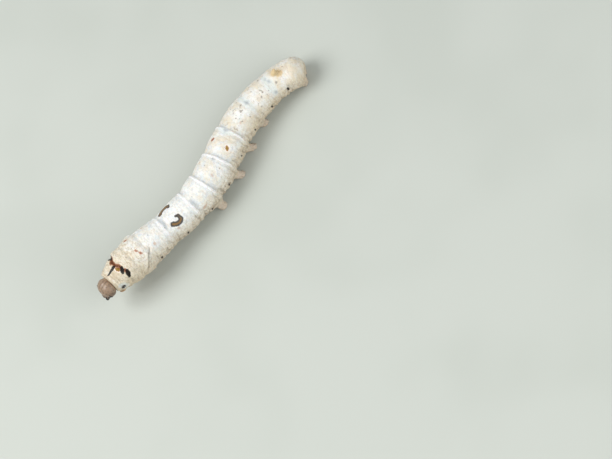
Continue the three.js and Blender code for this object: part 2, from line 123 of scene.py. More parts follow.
@dataclass
class BodyPlan:
    """The axis, the radius and the skin of the body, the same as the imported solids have."""

    segments: tuple[Segment, ...] = SEGMENTS
    neck_radius: float = 2.6
    neck_heading: float = 4.0
    neck_climb: float = 9.0
    belly_clearance: float = 1.55
    level_segment: str = "abdomen_4"
    belly_depth: float = 0.93
    belly_squareness: float = 0.86
    fold_height: float = 0.085
    fold_angle: float = math.radians(114)
    fold_spread: float = math.radians(20)
    fullness: float = 0.5
    lean: float = 1.4
    walk_step: float = 0.1
    creases: Array = field(init=False)
    stations: Array = field(init=False)
    points: Array = field(init=False)

    def __post_init__(self) -> None:
        """Walks the axis from the neck to the tail, and sets it on the frame."""
        self.creases = np.concatenate([[0], np.cumsum([row.length for row in self.segments])])
        self.stations = np.arange(0, self.length + self.walk_step / 2, self.walk_step)
        steps = self.direction(self.stations[:-1] + self.walk_step / 2) * self.walk_step
        self.points = np.concatenate([np.zeros((1, 3)), np.cumsum(steps, axis=0)])
        level = self.index(self.level_segment) + 1
        crease = self.creases[level]
        height = self.belly_clearance + self.belly_depth * self.segments[level - 1].waist
        self.points[:, 2] += height - np.interp(crease, self.stations, self.points[:, 2])
        self.points[:, :2] += self.place_in_frame()

    @property
    def length(self) -> float:
        """The whole length of the axis from the neck."""
        return float(self.creases[-1])

    def index(self, name: str) -> int:
        """The number of the segment with this name."""
        return [row.name for row in self.segments].index(name)

    def place_in_frame(self) -> Array:
        """The shift that brings the plan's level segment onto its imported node, in plan view."""
        number = self.index(self.level_segment)
        s = np.linspace(self.creases[number], self.creases[number + 1], 9)
        around = np.linspace(-math.pi, math.pi, 61)
        skin = self.skin(*(grid.ravel() for grid in np.meshgrid(s, around)))
        low, high = (np.array(corner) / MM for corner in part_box(self.level_segment))
        return ((low + high) / 2 - (skin.min(0) + skin.max(0)) / 2)[:2]

    def course(self, s: Array, first: float, key: str) -> Array:
        """A quantity that is known at each crease, at the places s."""
        return np.interp(s, self.creases, [first] + [getattr(row, key) for row in self.segments])

    def direction(self, s: Array) -> Array:
        """Unit vectors along the axis towards the tail."""
        heading = np.radians(self.course(s, self.neck_heading, "heading"))
        climb = np.radians(self.course(s, self.neck_climb, "climb"))
        level = np.cos(climb)
        return np.stack([level * np.cos(heading), level * np.sin(heading), -np.sin(climb)], -1)

    def radius(self, s: Array) -> Array:
        """The body's radius: the line between two creases and the segment's swelling on it."""
        middles = np.array([row.middle for row in self.segments])
        waists = np.array([self.neck_radius] + [row.waist for row in self.segments])
        number = np.clip(np.searchsorted(self.creases, s, side="right") - 1, 0, len(self.segments) - 1)
        share = np.clip((s - self.creases[number]) / np.diff(self.creases)[number], 0, 1)
        front, rear = waists[number], waists[number + 1]
        swelling = middles[number] - (front + rear) / 2
        rise = np.sin(math.pi * share ** self.lean) ** self.fullness
        return front + (rear - front) * share + swelling * rise

    def axes(self, s: Array) -> tuple[Array, Array, Array, Array]:
        """The axis's point, its way to the tail, the animal's left and its back, at the places s."""
        point = np.stack([np.interp(s, self.stations, self.points[:, k]) for k in range(3)], -1)
        tailward = self.direction(s)
        back = unit(UP - tailward * tailward[..., 2:3])
        return point, tailward, np.cross(tailward, back), back

    def reach(self, s: Array, angle: Array) -> tuple[Array, Array]:
        """How far the skin lies from the axis, sideways and towards the back."""
        radius = self.radius(s)
        sine, cosine = np.sin(angle), np.cos(angle)
        power = np.where(cosine < 0, self.belly_squareness, 1.0)
        ridge = 1 + self.fold_height * np.exp(-(((np.abs(angle) - self.fold_angle) / self.fold_spread) ** 2))
        sideways = radius * ridge * np.sign(sine) * np.abs(sine) ** power
        upward = radius * np.sign(cosine) * np.abs(cosine) ** power
        return sideways, np.where(upward < 0, upward * self.belly_depth, upward)

    def skin(self, s: Array, angle: Array, depth: Array | float = 1.0) -> Array:
        """Points of the skin, or inside it where depth is under 1."""
        point, _, left, back = self.axes(s)
        sideways, upward = (part * depth for part in self.reach(s, angle))
        return point + left * sideways[..., None] + back * upward[..., None]

    def locate(self, points: Array) -> tuple[Array, Array, Array]:
        """Finds the place on the body of each point.

        Args:
            points: an array of points in millimetres.

        Returns:
            The distance along the axis, the angle, and how far the point lies past the plain skin.
        """
        coarse = np.arange(0, self.length, 0.25)
        centres = self.axes(coarse)[0]
        nearest = np.empty(len(points), int)
        for start in range(0, len(points), 4000):
            gap = points[start:start + 4000, None] - centres[None]
            nearest[start:start + 4000] = (gap ** 2).sum(-1).argmin(1)
        s = coarse[nearest]
        for _ in range(2):
            point, tailward, _, _ = self.axes(s)
            s = np.clip(s + ((points - point) * tailward).sum(-1), 0, self.length)
        _, sideways, upward = self.straightened(points, s).T
        angle = np.arctan2(sideways, upward)
        return s, angle, np.hypot(sideways, upward) - np.hypot(*self.reach(s, angle))

    def straightened(self, points: Array, s: Array) -> Array:
        """Where points at the places s would be on a straight body: along it, to its left and up."""
        point, _, left, back = self.axes(s)
        return np.stack([s, ((points - point) * left).sum(-1), ((points - point) * back).sum(-1)], -1)


# Meshes

def select_only(*objects: Piece) -> None:
    """Selects these objects and nothing else, with the first of them active."""
    bpy.ops.object.select_all(action="DESELECT")
    for each in objects:
        each.select_set(True)
    bpy.context.view_layer.objects.active = objects[0]


def positions(mesh: bpy.types.Mesh, what: str = "co") -> Array:
    """The vertices' places, or their normals where what is vector, as an array."""
    source = mesh.vertices if what == "co" else mesh.vertex_normals
    flat = np.empty(len(mesh.vertices) * 3)
    source.foreach_get(what, flat)
    return flat.reshape(-1, 3)


def move_vertices(piece: Piece, points: Array) -> None:
    """Moves the vertices of a piece to these points, given in millimetres."""
    piece.data.vertices.foreach_set("co", (points * MM).ravel())
    piece.data.update()


def finish_shape(piece: Piece, name: str, crisp_angle: float | None = None) -> Piece:
    """Closes a piece's seams and poles, turns its faces outwards and shades it smooth.

    Args:
        piece: the object to finish, at the origin.
        name: its name in the table of pieces.
        crisp_angle: the angle in degrees past which an edge stays crisp, or None for none.

    Returns:
        The same object.
    """
    select_only(piece)
    bpy.ops.object.mode_set(mode="EDIT")
    bpy.ops.mesh.select_all(action="SELECT")
    bpy.ops.mesh.remove_doubles(threshold=0.002 * MM)
    bpy.ops.mesh.fill_holes(sides=0)
    bpy.ops.mesh.normals_make_consistent(inside=False)
    bpy.ops.object.mode_set(mode="OBJECT")
    if crisp_angle is None:
        bpy.ops.object.shade_smooth()
    else:
        bpy.ops.object.shade_smooth_by_angle(angle=math.radians(crisp_angle))
    piece.name = name
    piece.data.name = name
    return piece


def rolled_sheet(name: str, rings: int, around: int, place: Placer) -> Piece:
    """Rolls a grid up into a closed tube.

    Args:
        name: the piece's name.
        rings: the number of steps along the tube.
        around: the number of steps around it.
        place: gives the points for a share along the tube and a turn around it, in radians.

    Returns:
        The closed tube, with its faces outwards.
    """
    bpy.ops.object.select_all(action="DESELECT")
    bpy.ops.mesh.primitive_grid_add(x_subdivisions=rings, y_subdivisions=around, size=2)
    piece = bpy.context.active_object
    grid = positions(piece.data)
    move_vertices(piece, place((grid[:, 0] + 1) / 2, grid[:, 1] * math.pi))
    return finish_shape(piece, name)


def shaped_ball(name: str, around: int, rings: int, place: Callable[[Array], Array]) -> Piece:
    """Reshapes a sphere: place gives a point for each direction from its centre."""
    bpy.ops.object.select_all(action="DESELECT")
    bpy.ops.mesh.primitive_uv_sphere_add(segments=around, ring_count=rings, radius=1)
    piece = bpy.context.active_object
    directions = unit(positions(piece.data))[:, [2, 1, 0]] * np.array([1, 1, -1])
    move_vertices(piece, place(directions))
    return finish_shape(piece, name)


def join(pieces: Iterable[Piece], name: str) -> Piece:
    """Joins pieces into one object with this name."""
    pieces = list(pieces)
    select_only(*pieces)
    bpy.ops.object.join()
    pieces[0].name = name
    pieces[0].data.name = name
    return pieces[0]


def copied(model: Piece, name: str) -> Piece:
    """A copy of a modelled piece, with a mesh of its own."""
    each = model.copy()
    each.data = model.data.copy()
    each.name = name
    bpy.context.collection.objects.link(each)
    return each


def apply_modifier(piece: Piece, kind: str, **settings: object) -> None:
    """Adds a modifier with these settings and applies it."""
    select_only(piece)
    bpy.ops.object.modifier_add(type=kind)
    modifier = piece.modifiers[-1]
    for key, value in settings.items():
        setattr(modifier, key, value)
    bpy.ops.object.modifier_apply(modifier=modifier.name)


def grain(points: Array, size: float, seed: float = 0.0) -> Array:
    """Smooth noise from -1 to 1 with features about size millimetres across."""
    return np.array([noise.noise(Vector(point)) for point in points / size + seed])


def store(piece: Piece, name: str, values: Array) -> None:
    """Keeps a number or a vector for each vertex, for the materials to read."""
    vector = values.ndim == 2
    layer = piece.data.attributes.new(name, "FLOAT_VECTOR" if vector else "FLOAT", "POINT")
    layer.data.foreach_set("vector" if vector else "value", values.astype(np.float32).ravel())


@dataclass(frozen=True)
class Bow:
    """A curve that leaves one point towards a second and ends at a third."""

    start: Array
    towards: Array
    end: Array

    def at(self, share: Array) -> Array:
        """Points at these shares of the curve."""
        t = np.asarray(share, float)[..., None]
        return self.start * (1 - t) ** 2 + self.towards * 2 * t * (1 - t) + self.end * t ** 2

    def way(self, share: Array) -> Array:
        """Unit vectors along the curve at these shares."""
        t = np.asarray(share, float)[..., None]
        return unit((self.towards - self.start) * 2 * (1 - t) + (self.end - self.towards) * 2 * t)


def limb(name: str, bow: Bow, size: Iterable[tuple[float, float]], rings: int, around: int,
         level: bool = False, wide: float = 1.0) -> Piece:
    """Builds a limb along a bow.

    Args:
        name: the piece's name.
        bow: the curve that the limb's middle follows.
        size: its radius at some shares of the curve, as (share, radius).
        rings: the number of steps along it.
        around: the number of steps around it.
        level: whether its rings stay parallel to the floor, so that it ends in a flat sole.
        wide: how much wider it is along the body than across it.

    Returns:
        The closed limb.
    """
    shares, radii = zip(*size)

    def place(share: Array, turn: Array) -> Array:
        """A point of the limb's surface."""
        ahead = np.broadcast_to(-UP, share.shape + (3,)) if level else bow.way(share)
        across = unit(np.array([1.0, 0, 0]) - ahead * ahead[..., :1])
        third = np.cross(ahead, across)
        radius = np.interp(share, shares, radii)[..., None]
        turn = turn[..., None]
        return bow.at(share) + across * np.cos(turn) * radius * wide + third * np.sin(turn) * radius

    return rolled_sheet(name, rings, around, place)


# Folds of the skin, and its markings

@dataclass(frozen=True)
class Course:
    """A line on the skin, as places (distance from the neck, angle in degrees), left side first."""

    places: Steps
    mirrored: bool = True

    def distance(self, plan: BodyPlan, s: Array, angle: Array) -> tuple[Array, Array]:
        """The distance in millimetres from each place to the line, and the share of the line there."""
        here = np.stack([s, angle * plan.radius(s)], -1)
        if self.mirrored:
            here[:, 1] = np.abs(here[:, 1])
        line = np.array(self.places, float)
        line[:, 1] = np.radians(line[:, 1]) * plan.radius(line[:, 0])
        if len(line) == 1:
            return np.linalg.norm(here - line[0], axis=-1), np.zeros(len(here))
        best, share = np.full(len(here), 1e3), np.zeros(len(here))
        for number, (a, b) in enumerate(zip(line[:-1], line[1:])):
            along = np.clip(((here - a) @ (b - a)) / ((b - a) @ (b - a)), 0, 1)
            gap = np.linalg.norm(here - a - along[:, None] * (b - a), axis=-1)
            nearer = gap < best
            best = np.where(nearer, gap, best)
            share = np.where(nearer, (number + along) / (len(line) - 1), share)
        return best, share


@dataclass(frozen=True)
class Fold:
    """A crease or a ridge of the skin along a course: depth is negative for a ridge."""

    course: Course
    depth: float
    width: float

    def relief(self, plan: BodyPlan, s: Array, angle: Array) -> Array:
        """How far the fold moves the skin outwards at each place."""
        gap, share = self.course.distance(plan, s, angle)
        starts_inside = self.course.places[0][1] == 0
        start = 1.0 if starts_inside else smooth_between(0, 0.2, share)
        return -self.depth * start * smooth_between(0, 0.2, 1 - share) * np.exp(-((gap / self.width) ** 2))


@dataclass(frozen=True)
class Mark:
    """A stroke of colour: half its width at the start, the middle and the end of its course."""

    course: Course
    halves: tuple[float, float, float]

    def edge(self, plan: BodyPlan, s: Array, angle: Array) -> Array:
        """The distance from the stroke's edge, negative inside it."""
        gap, share = self.course.distance(plan, s, angle)
        return gap - np.interp(share, (0, 0.5, 1), self.halves)


class Tint(Enum):
    """The markings' colours, by the name of the number that the skin keeps for each."""

    CRESCENT = "crescent"
    BLACK = "black"
    BAND = "band"
    RUST = "rust"
    GOLD = "gold"
    FAINT = "faint"
    GREY = "grey"
    HORN = "horn_patch"
    PLATE = "plate"
    SMUDGE = "smudge"


def stroke(*places: tuple[float, float], half: float | tuple[float, float, float],
           mirrored: bool = False) -> Mark:
    """A mark through these places, with one half width or three."""
    halves = half if isinstance(half, tuple) else (half, half, half)
    return Mark(Course(places, mirrored), halves)


MARKINGS: dict[Tint, tuple[Mark, ...]] = {
    Tint.CRESCENT: (
        stroke((20.75, 21), (21.3, 26), (21.3, 40), (20.6, 45), (19.8, 43), (19.05, 35),
               half=(0.15, 0.43, 0.47)),
        stroke((21.1, -24), (21.2, -30), (20.4, -38), (19.4, -39), (18.5, -30), half=(0.24, 0.56, 0.46)),
    ),
    Tint.BLACK: (
        stroke((0.66, 5), (1.6, 4.5), (2.75, 3.2), half=(0.12, 0.24, 0.4)),
        stroke((3.9, 26), (3.6, 33), (3.3, 40), half=(0.3, 0.52, 0.34)),
        stroke((4.25, 46), (4.1, 56), (3.85, 68), half=(0.4, 0.56, 0.3)),
        stroke((3.75, -36), (3.6, -46), half=(0.26, 0.4, 0.3)),
        stroke((4.15, -44), (3.95, -68), half=(0.3, 0.5, 0.26)),
    ),
    Tint.BAND: (
        stroke((3.9, -32), (3.3, -16), (3.3, 2), (3.7, 14), (3.85, 25), half=(0.26, 0.3, 0.28)),
        stroke((4.05, -52), (3.9, -30), half=(0.24, 0.4, 0.4)),
        stroke((3.3, -10), (3.05, -16), (3.2, -22), half=(0.18, 0.3, 0.2)),
    ),
    Tint.RUST: (
        stroke((8.8, 19), (8.9, 23), half=(0.16, 0.2, 0.14)),
        stroke((9.2, 32), (9.35, 36), half=(0.18, 0.22, 0.16)),
        stroke((3.8, -25), (3.9, -33), half=0.26),
        stroke((4.05, 40), (4.1, 47), half=0.34),
        stroke((8.9, -31), (8.6, -36), half=(0.2, 0.26, 0.2)),
        stroke((40.4, -25), (40.1, -28), half=0.3),
    ),
    Tint.GOLD: (
        stroke((39.85, 30.5), (39.3, 36), half=(0.2, 0.32, 0.24)),
        stroke((2.85, 12), (3.1, 24), half=(0.1, 0.34, 0.26)),
    ),
    Tint.FAINT: (
        stroke((13.08, 41), half=0.3),
        stroke((8.85, 21), (9.3, 34), half=0.02),
        stroke((13.3, -38), half=0.24),
        stroke((27.2, 69), (26.5, 73), half=(0.2, 0.34, 0.24), mirrored=True),
        stroke((32.9, 27), (32.8, 33), half=(0.1, 0.18, 0.1)),
        stroke((34.2, -33), half=0.16),
        stroke((46.2, 34), (46.5, 31), half=(0.1, 0.18, 0.1)),
        stroke((19.3, 55), (19.7, 60), half=(0.1, 0.22, 0.1)),
    ),
    Tint.GREY: (
        stroke((43.15, -3), (43.05, 3), (43.15, 9), half=(0.12, 0.36, 0.14)),
        stroke((50.9, 4), (50.95, 10), (51.0, 16), half=(0.2, 0.42, 0.16)),
        stroke((57.9, 7), (58.0, 14), half=(0.26, 0.42, 0.22)),
        stroke((57.6, -6), (57.7, -11), half=(0.14, 0.26, 0.12)),
        stroke((57.6, 55), (57.7, 62), half=(0.18, 0.36, 0.2)),
        stroke((36.0, 4), (36.1, 12), half=(0.08, 0.24, 0.08)),
        stroke((25.7, 20), (25.6, 34), (25.8, 48), half=(0.1, 0.26, 0.22)),
        stroke((17.5, -10), (17.7, 14), (17.4, 32), half=(0.16, 0.3, 0.14)),
    ),
    Tint.HORN: (stroke((60.5, 3), (61.0, 9), half=(0.75, 0.9, 0.75)),),
    Tint.PLATE: (
        stroke((0.9, 76), (1.6, 88), (2.3, 99), half=(0.36, 0.66, 0.42), mirrored=True),
        stroke((42.9, -26), (42.8, 4), (42.9, 30), half=(0.3, 0.7, 0.3)),
        stroke((50.8, -34), (50.9, 6), (50.8, 44), half=(0.4, 1.0, 0.5)),
        stroke((57.5, -24), (57.7, 20), (57.4, 60), half=(0.5, 1.2, 0.7)),
    ),
    Tint.SMUDGE: (
        stroke((59.2, 31), half=0.26),
        # these two follow folds of the thorax: painted shade in the folds
        stroke((11.4, 43), (10.45, 54.5), (8.9, 83), (7.85, 98), half=(0.0, 0.06, 0.02)),
        stroke((10.7, 64), (9.9, 77), (9.16, 91), half=(-0.02, 0.02, -0.02)),
        stroke((54.35, 33), (54.25, 35.5), half=(0.13, 0.17, 0.12)),
        stroke((55.2, 24), half=0.16),
        stroke((48.9, 47), half=0.14),
        stroke((56.3, -28), half=0.16),
        stroke((52.6, 58), half=0.18),
        stroke((27.6, 100), (27.9, 104), half=(0.2, 0.3, 0.2), mirrored=True),
        stroke((33.3, 99), (33.7, 102), half=(0.2, 0.3, 0.2), mirrored=True),
    ),
}

def fold(depth: float, width: float, *places: tuple[float, float]) -> Fold:
    """A fold through these places, alike on both sides."""
    return Fold(Course(places), depth, width)


THORAX_FOLDS = (
    fold(0.4, 0.32, (3.4, 0), (3.55, 20), (3.95, 42), (4.1, 60), (4.0, 74)),
    fold(0.2, 0.34, (4.05, 58), (3.9, 85), (3.7, 125)),
    fold(-0.18, 0.5, (4.8, 0), (4.9, 30), (5.0, 60), (4.9, 95)),
    fold(0.08, 0.3, (6.9, 0), (6.95, 30), (6.7, 62), (6.5, 100)),
    fold(0.05, 0.32, (10.9, 0), (11.1, 22), (11.4, 44)),
    fold(0.3, 0.27, (11.7, 30), (11.6, 41), (10.45, 54.5), (9.6, 69), (8.9, 83), (7.85, 98), (7.1, 114)),
    fold(-0.2, 0.42, (11.0, 40), (9.85, 56), (9.0, 70), (8.2, 84), (7.2, 99)),
    fold(0.12, 0.28, (7.7, 60), (7.0, 78), (6.5, 96)),
    fold(0.14, 0.2, (10.9, 61), (9.9, 76), (9.16, 91)),
    fold(0.12, 0.32, (5.8, 52), (5.5, 74), (5.4, 92), (5.8, 114)),
    fold(0.08, 0.18, (6.4, 30), (6.1, 48), (6.2, 70)),
    fold(0.1, 0.26, (2.6, 72), (1.7, 60), (0.7, 56)),
    fold(0.16, 0.2, (2.5, 104), (2.9, 88), (3.1, 68)),
    fold(0.1, 0.16, (0.5, 20), (0.9, 42), (1.1, 64)),
    fold(-0.06, 0.2, (1.0, 18), (1.6, 34), (2.0, 50)),
    fold(0.07, 0.16, (8.1, 16), (8.0, 30), (8.3, 46)),
    fold(0.08, 0.2, (12.2, 60), (12.0, 76), (11.6, 90)),
    fold(0.07, 0.14, (0.35, 0), (0.4, 40), (0.55, 80), (0.6, 112)),
    fold(0.07, 0.14, (0.85, 12), (0.95, 40), (1.15, 68)),
    fold(0.05, 0.13, (1.35, 22), (1.5, 46), (1.6, 64)),
    fold(0.035, 0.3, (61.9, 0), (61.9, 60), (61.8, 120)),
    fold(0.05, 0.3, (63.3, 0), (63.4, 60), (63.2, 120)),
)

# Folds low on the side of each abdominal segment: shares of its length and degrees, depth and width.
SIDE_FOLDS: tuple[tuple[Steps, float, float], ...] = (
    (((0.1, 62), (0.17, 80), (0.14, 100), (0.09, 126)), 0.17, 0.2),
    (((0.3, 82), (0.33, 98), (0.25, 112), (0.28, 130)), 0.16, 0.2),
    (((0.66, 80), (0.6, 96), (0.69, 114), (0.66, 130)), 0.17, 0.2),
    (((0.86, 60), (0.82, 80), (0.87, 98), (0.83, 124)), 0.2, 0.22),
    (((0.02, 106), (0.3, 112), (0.6, 107), (0.97, 112)), 0.2, 0.22),
    (((0.02, 88), (0.26, 93), (0.5, 89), (0.8, 93), (0.98, 90)), 0.09, 0.16),
    (((0.2, 74), (0.42, 80), (0.55, 76)), 0.08, 0.18),
    (((0.7, 70), (0.76, 84), (0.72, 96)), 0.12, 0.16),
    (((0.4, 104), (0.47, 118), (0.44, 132)), 0.14, 0.18),
)


# Finishes

def linear(colour: str) -> tuple[float, float, float, float]:
    """The linear colour of an sRGB hex value."""
    parts = [int(colour.lstrip("#")[k:k + 2], 16) / 255 for k in (0, 2, 4)]
    return (*(c / 12.92 if c <= 0.04045 else ((c + 0.055) / 1.055) ** 2.4 for c in parts), 1.0)


def per_mm(size: float) -> float:
    """The scale that makes a pattern's features size millimetres across on Object coordinates."""
    return 1 / (size * MM)


def node(tree: bpy.types.NodeTree, kind: str, links: dict | None = None,
         **settings: object) -> bpy.types.Node:
    """Adds a shader node.

    Args:
        tree: the material's node tree.
        kind: the node's type name.
        links: for each input, by name or number, a socket to link or a value to set.
        settings: properties of the node itself.

    Returns:
        The node.
    """
    made = tree.nodes.new(kind)
    for key, value in settings.items():
        setattr(made, key, value)
    for key, value in (links or {}).items():
        if isinstance(value, Socket):
            tree.links.new(value, made.inputs[key])
        else:
            made.inputs[key].default_value = value
    return made


class Paint:
    """The nodes of one material, built up from a ground colour by laying others over it."""

    def __init__(self, name: str, ground: str, **surface: float) -> None:
        """Starts a material.

        Args:
            name: the material's name.
            ground: its ground colour.
            surface: settings of the surface shader, with underscores for spaces.
        """
        self.material = bpy.data.materials.new(name)
        self.material.use_nodes = True
        self.tree = self.material.node_tree
        self.shader = next(n for n in self.tree.nodes if n.type == "BSDF_PRINCIPLED")
        for key, value in surface.items():
            self.shader.inputs[key.replace("_", " ")].default_value = value
        self.place = node(self.tree, "ShaderNodeTexCoord").outputs["Object"]
        self.colour = node(self.tree, "ShaderNodeRGB").outputs[0]
        self.colour.default_value = linear(ground)
        self.height: Socket | None = None

    def noise(self, size: float, detail: float = 3, stretch: tuple[float, float, float] = (1, 1, 1),
              roughness: float = 0.5) -> Socket:
        """Noise from 0 to 1 with features size millimetres across, stretched along the axes."""
        mapped = node(self.tree, "ShaderNodeMapping", {"Vector": self.place, "Scale": stretch})
        return node(self.tree, "ShaderNodeTexNoise", {
            "Vector": mapped.outputs[0], "Scale": per_mm(size), "Detail": detail, "Roughness": roughness,
        }).outputs[0]

    def cells(self, size: float, randomness: float = 1.0) -> Socket:
        """The distance from the middle of cells that are size millimetres across."""
        return node(self.tree, "ShaderNodeTexVoronoi", {
            "Vector": self.place, "Scale": per_mm(size), "Randomness": randomness,
        }).outputs["Distance"]

    def kept(self, name: str) -> Socket:
        """A number that the mesh keeps for each vertex."""
        return node(self.tree, "ShaderNodeAttribute", attribute_name=name).outputs["Fac"]

    def sum(self, kind: str, a: object, b: object = 0.0, c: object = 0.0) -> Socket:
        """A sum of two or three numbers or sockets, of the kind that the Math node names."""
        return node(self.tree, "ShaderNodeMath", {0: a, 1: b, 2: c}, operation=kind).outputs[0]

    def both(self, a: object, b: object) -> Socket:
        """The product of two masks or numbers."""
        return self.sum("MULTIPLY", a, b)

    def ramp(self, value: Socket, low: float, high: float) -> Socket:
        """A smooth rise from 0 at low to 1 at high, or a fall where high is under low."""
        rising = high > low
        return node(self.tree, "ShaderNodeMapRange", {
            "Value": value, "From Min": min(low, high), "From Max": max(low, high),
            "To Min": 0.0 if rising else 1.0, "To Max": 1.0 if rising else 0.0,
        }, interpolation_type="SMOOTHSTEP").outputs[0]

    def lay(self, colour: str, mask: Socket | float, strength: float = 1.0) -> None:
        """Lays a colour over what is there, where the mask is 1."""
        factor = self.sum("MULTIPLY", mask, strength)
        mixed = node(self.tree, "ShaderNodeMix", {0: factor, 6: self.colour, 7: linear(colour)},
                     data_type="RGBA")
        self.colour = mixed.outputs[2]

    def raise_by(self, value: Socket, height: float) -> None:
        """Adds a relief of this many millimetres, where the value is 1."""
        part = self.sum("MULTIPLY", value, height)
        self.height = part if self.height is None else self.sum("ADD", self.height, part)

    def roughen(self, value: Socket, low: float, high: float) -> None:
        """Lets the roughness follow a value, from low at 0 to high at 1."""
        made = node(self.tree, "ShaderNodeMapRange", {"Value": value, "To Min": low, "To Max": high})
        self.tree.links.new(made.outputs[0], self.shader.inputs["Roughness"])

    def finished(self, strength: float = 1.0) -> bpy.types.Material:
        """Links the colour and the relief to the surface, and gives the material."""
        self.tree.links.new(self.colour, self.shader.inputs["Base Color"])
        if self.height is not None:
            bump = node(self.tree, "ShaderNodeBump", {
                "Height": self.height, "Strength": strength, "Distance": MM,
            })
            self.tree.links.new(bump.outputs[0], self.shader.inputs["Normal"])
        return self.material


# What the markings lay down, in order: the tint, its colour in the skin's finish, the distances in
# millimetres from its edge where the colour starts and is full, and its strength.
MARK_COATS: tuple[tuple[Tint, str, float, float, float], ...] = (
    (Tint.PLATE, "plate", 0.3, -0.3, 0.75),
    (Tint.GREY, "grey", 0.45, -0.4, 0.75),
    (Tint.FAINT, "faint", 0.25, -0.15, 0.6),
    (Tint.HORN, "horn", 0.4, -0.25, 0.85),
    # smudges, and painted shade along two folds of the thorax
    (Tint.SMUDGE, "smudge", 0.2, -0.14, 0.6),
    (Tint.GOLD, "halo", 0.5, 0.14, 0.7),
    (Tint.GOLD, "rust_pale", 0.2, 0.02, 0.85),
    (Tint.GOLD, "gold", 0.08, -0.08, 0.95),
    (Tint.RUST, "rust_pale", 0.22, -0.02, 0.75),
    (Tint.RUST, "rust", 0.02, -0.18, 0.85),
    (Tint.BAND, "band_edge", 0.24, 0.04, 0.85),
    (Tint.BAND, "band_core", 0.04, -0.24, 0.9),
    (Tint.BLACK, "black", 0.1, -0.04, 0.97),
    (Tint.CRESCENT, "crescent_edge", 0.22, 0.07, 0.92),
    (Tint.CRESCENT, "crescent_core", -0.14, -0.34, 0.95),
)


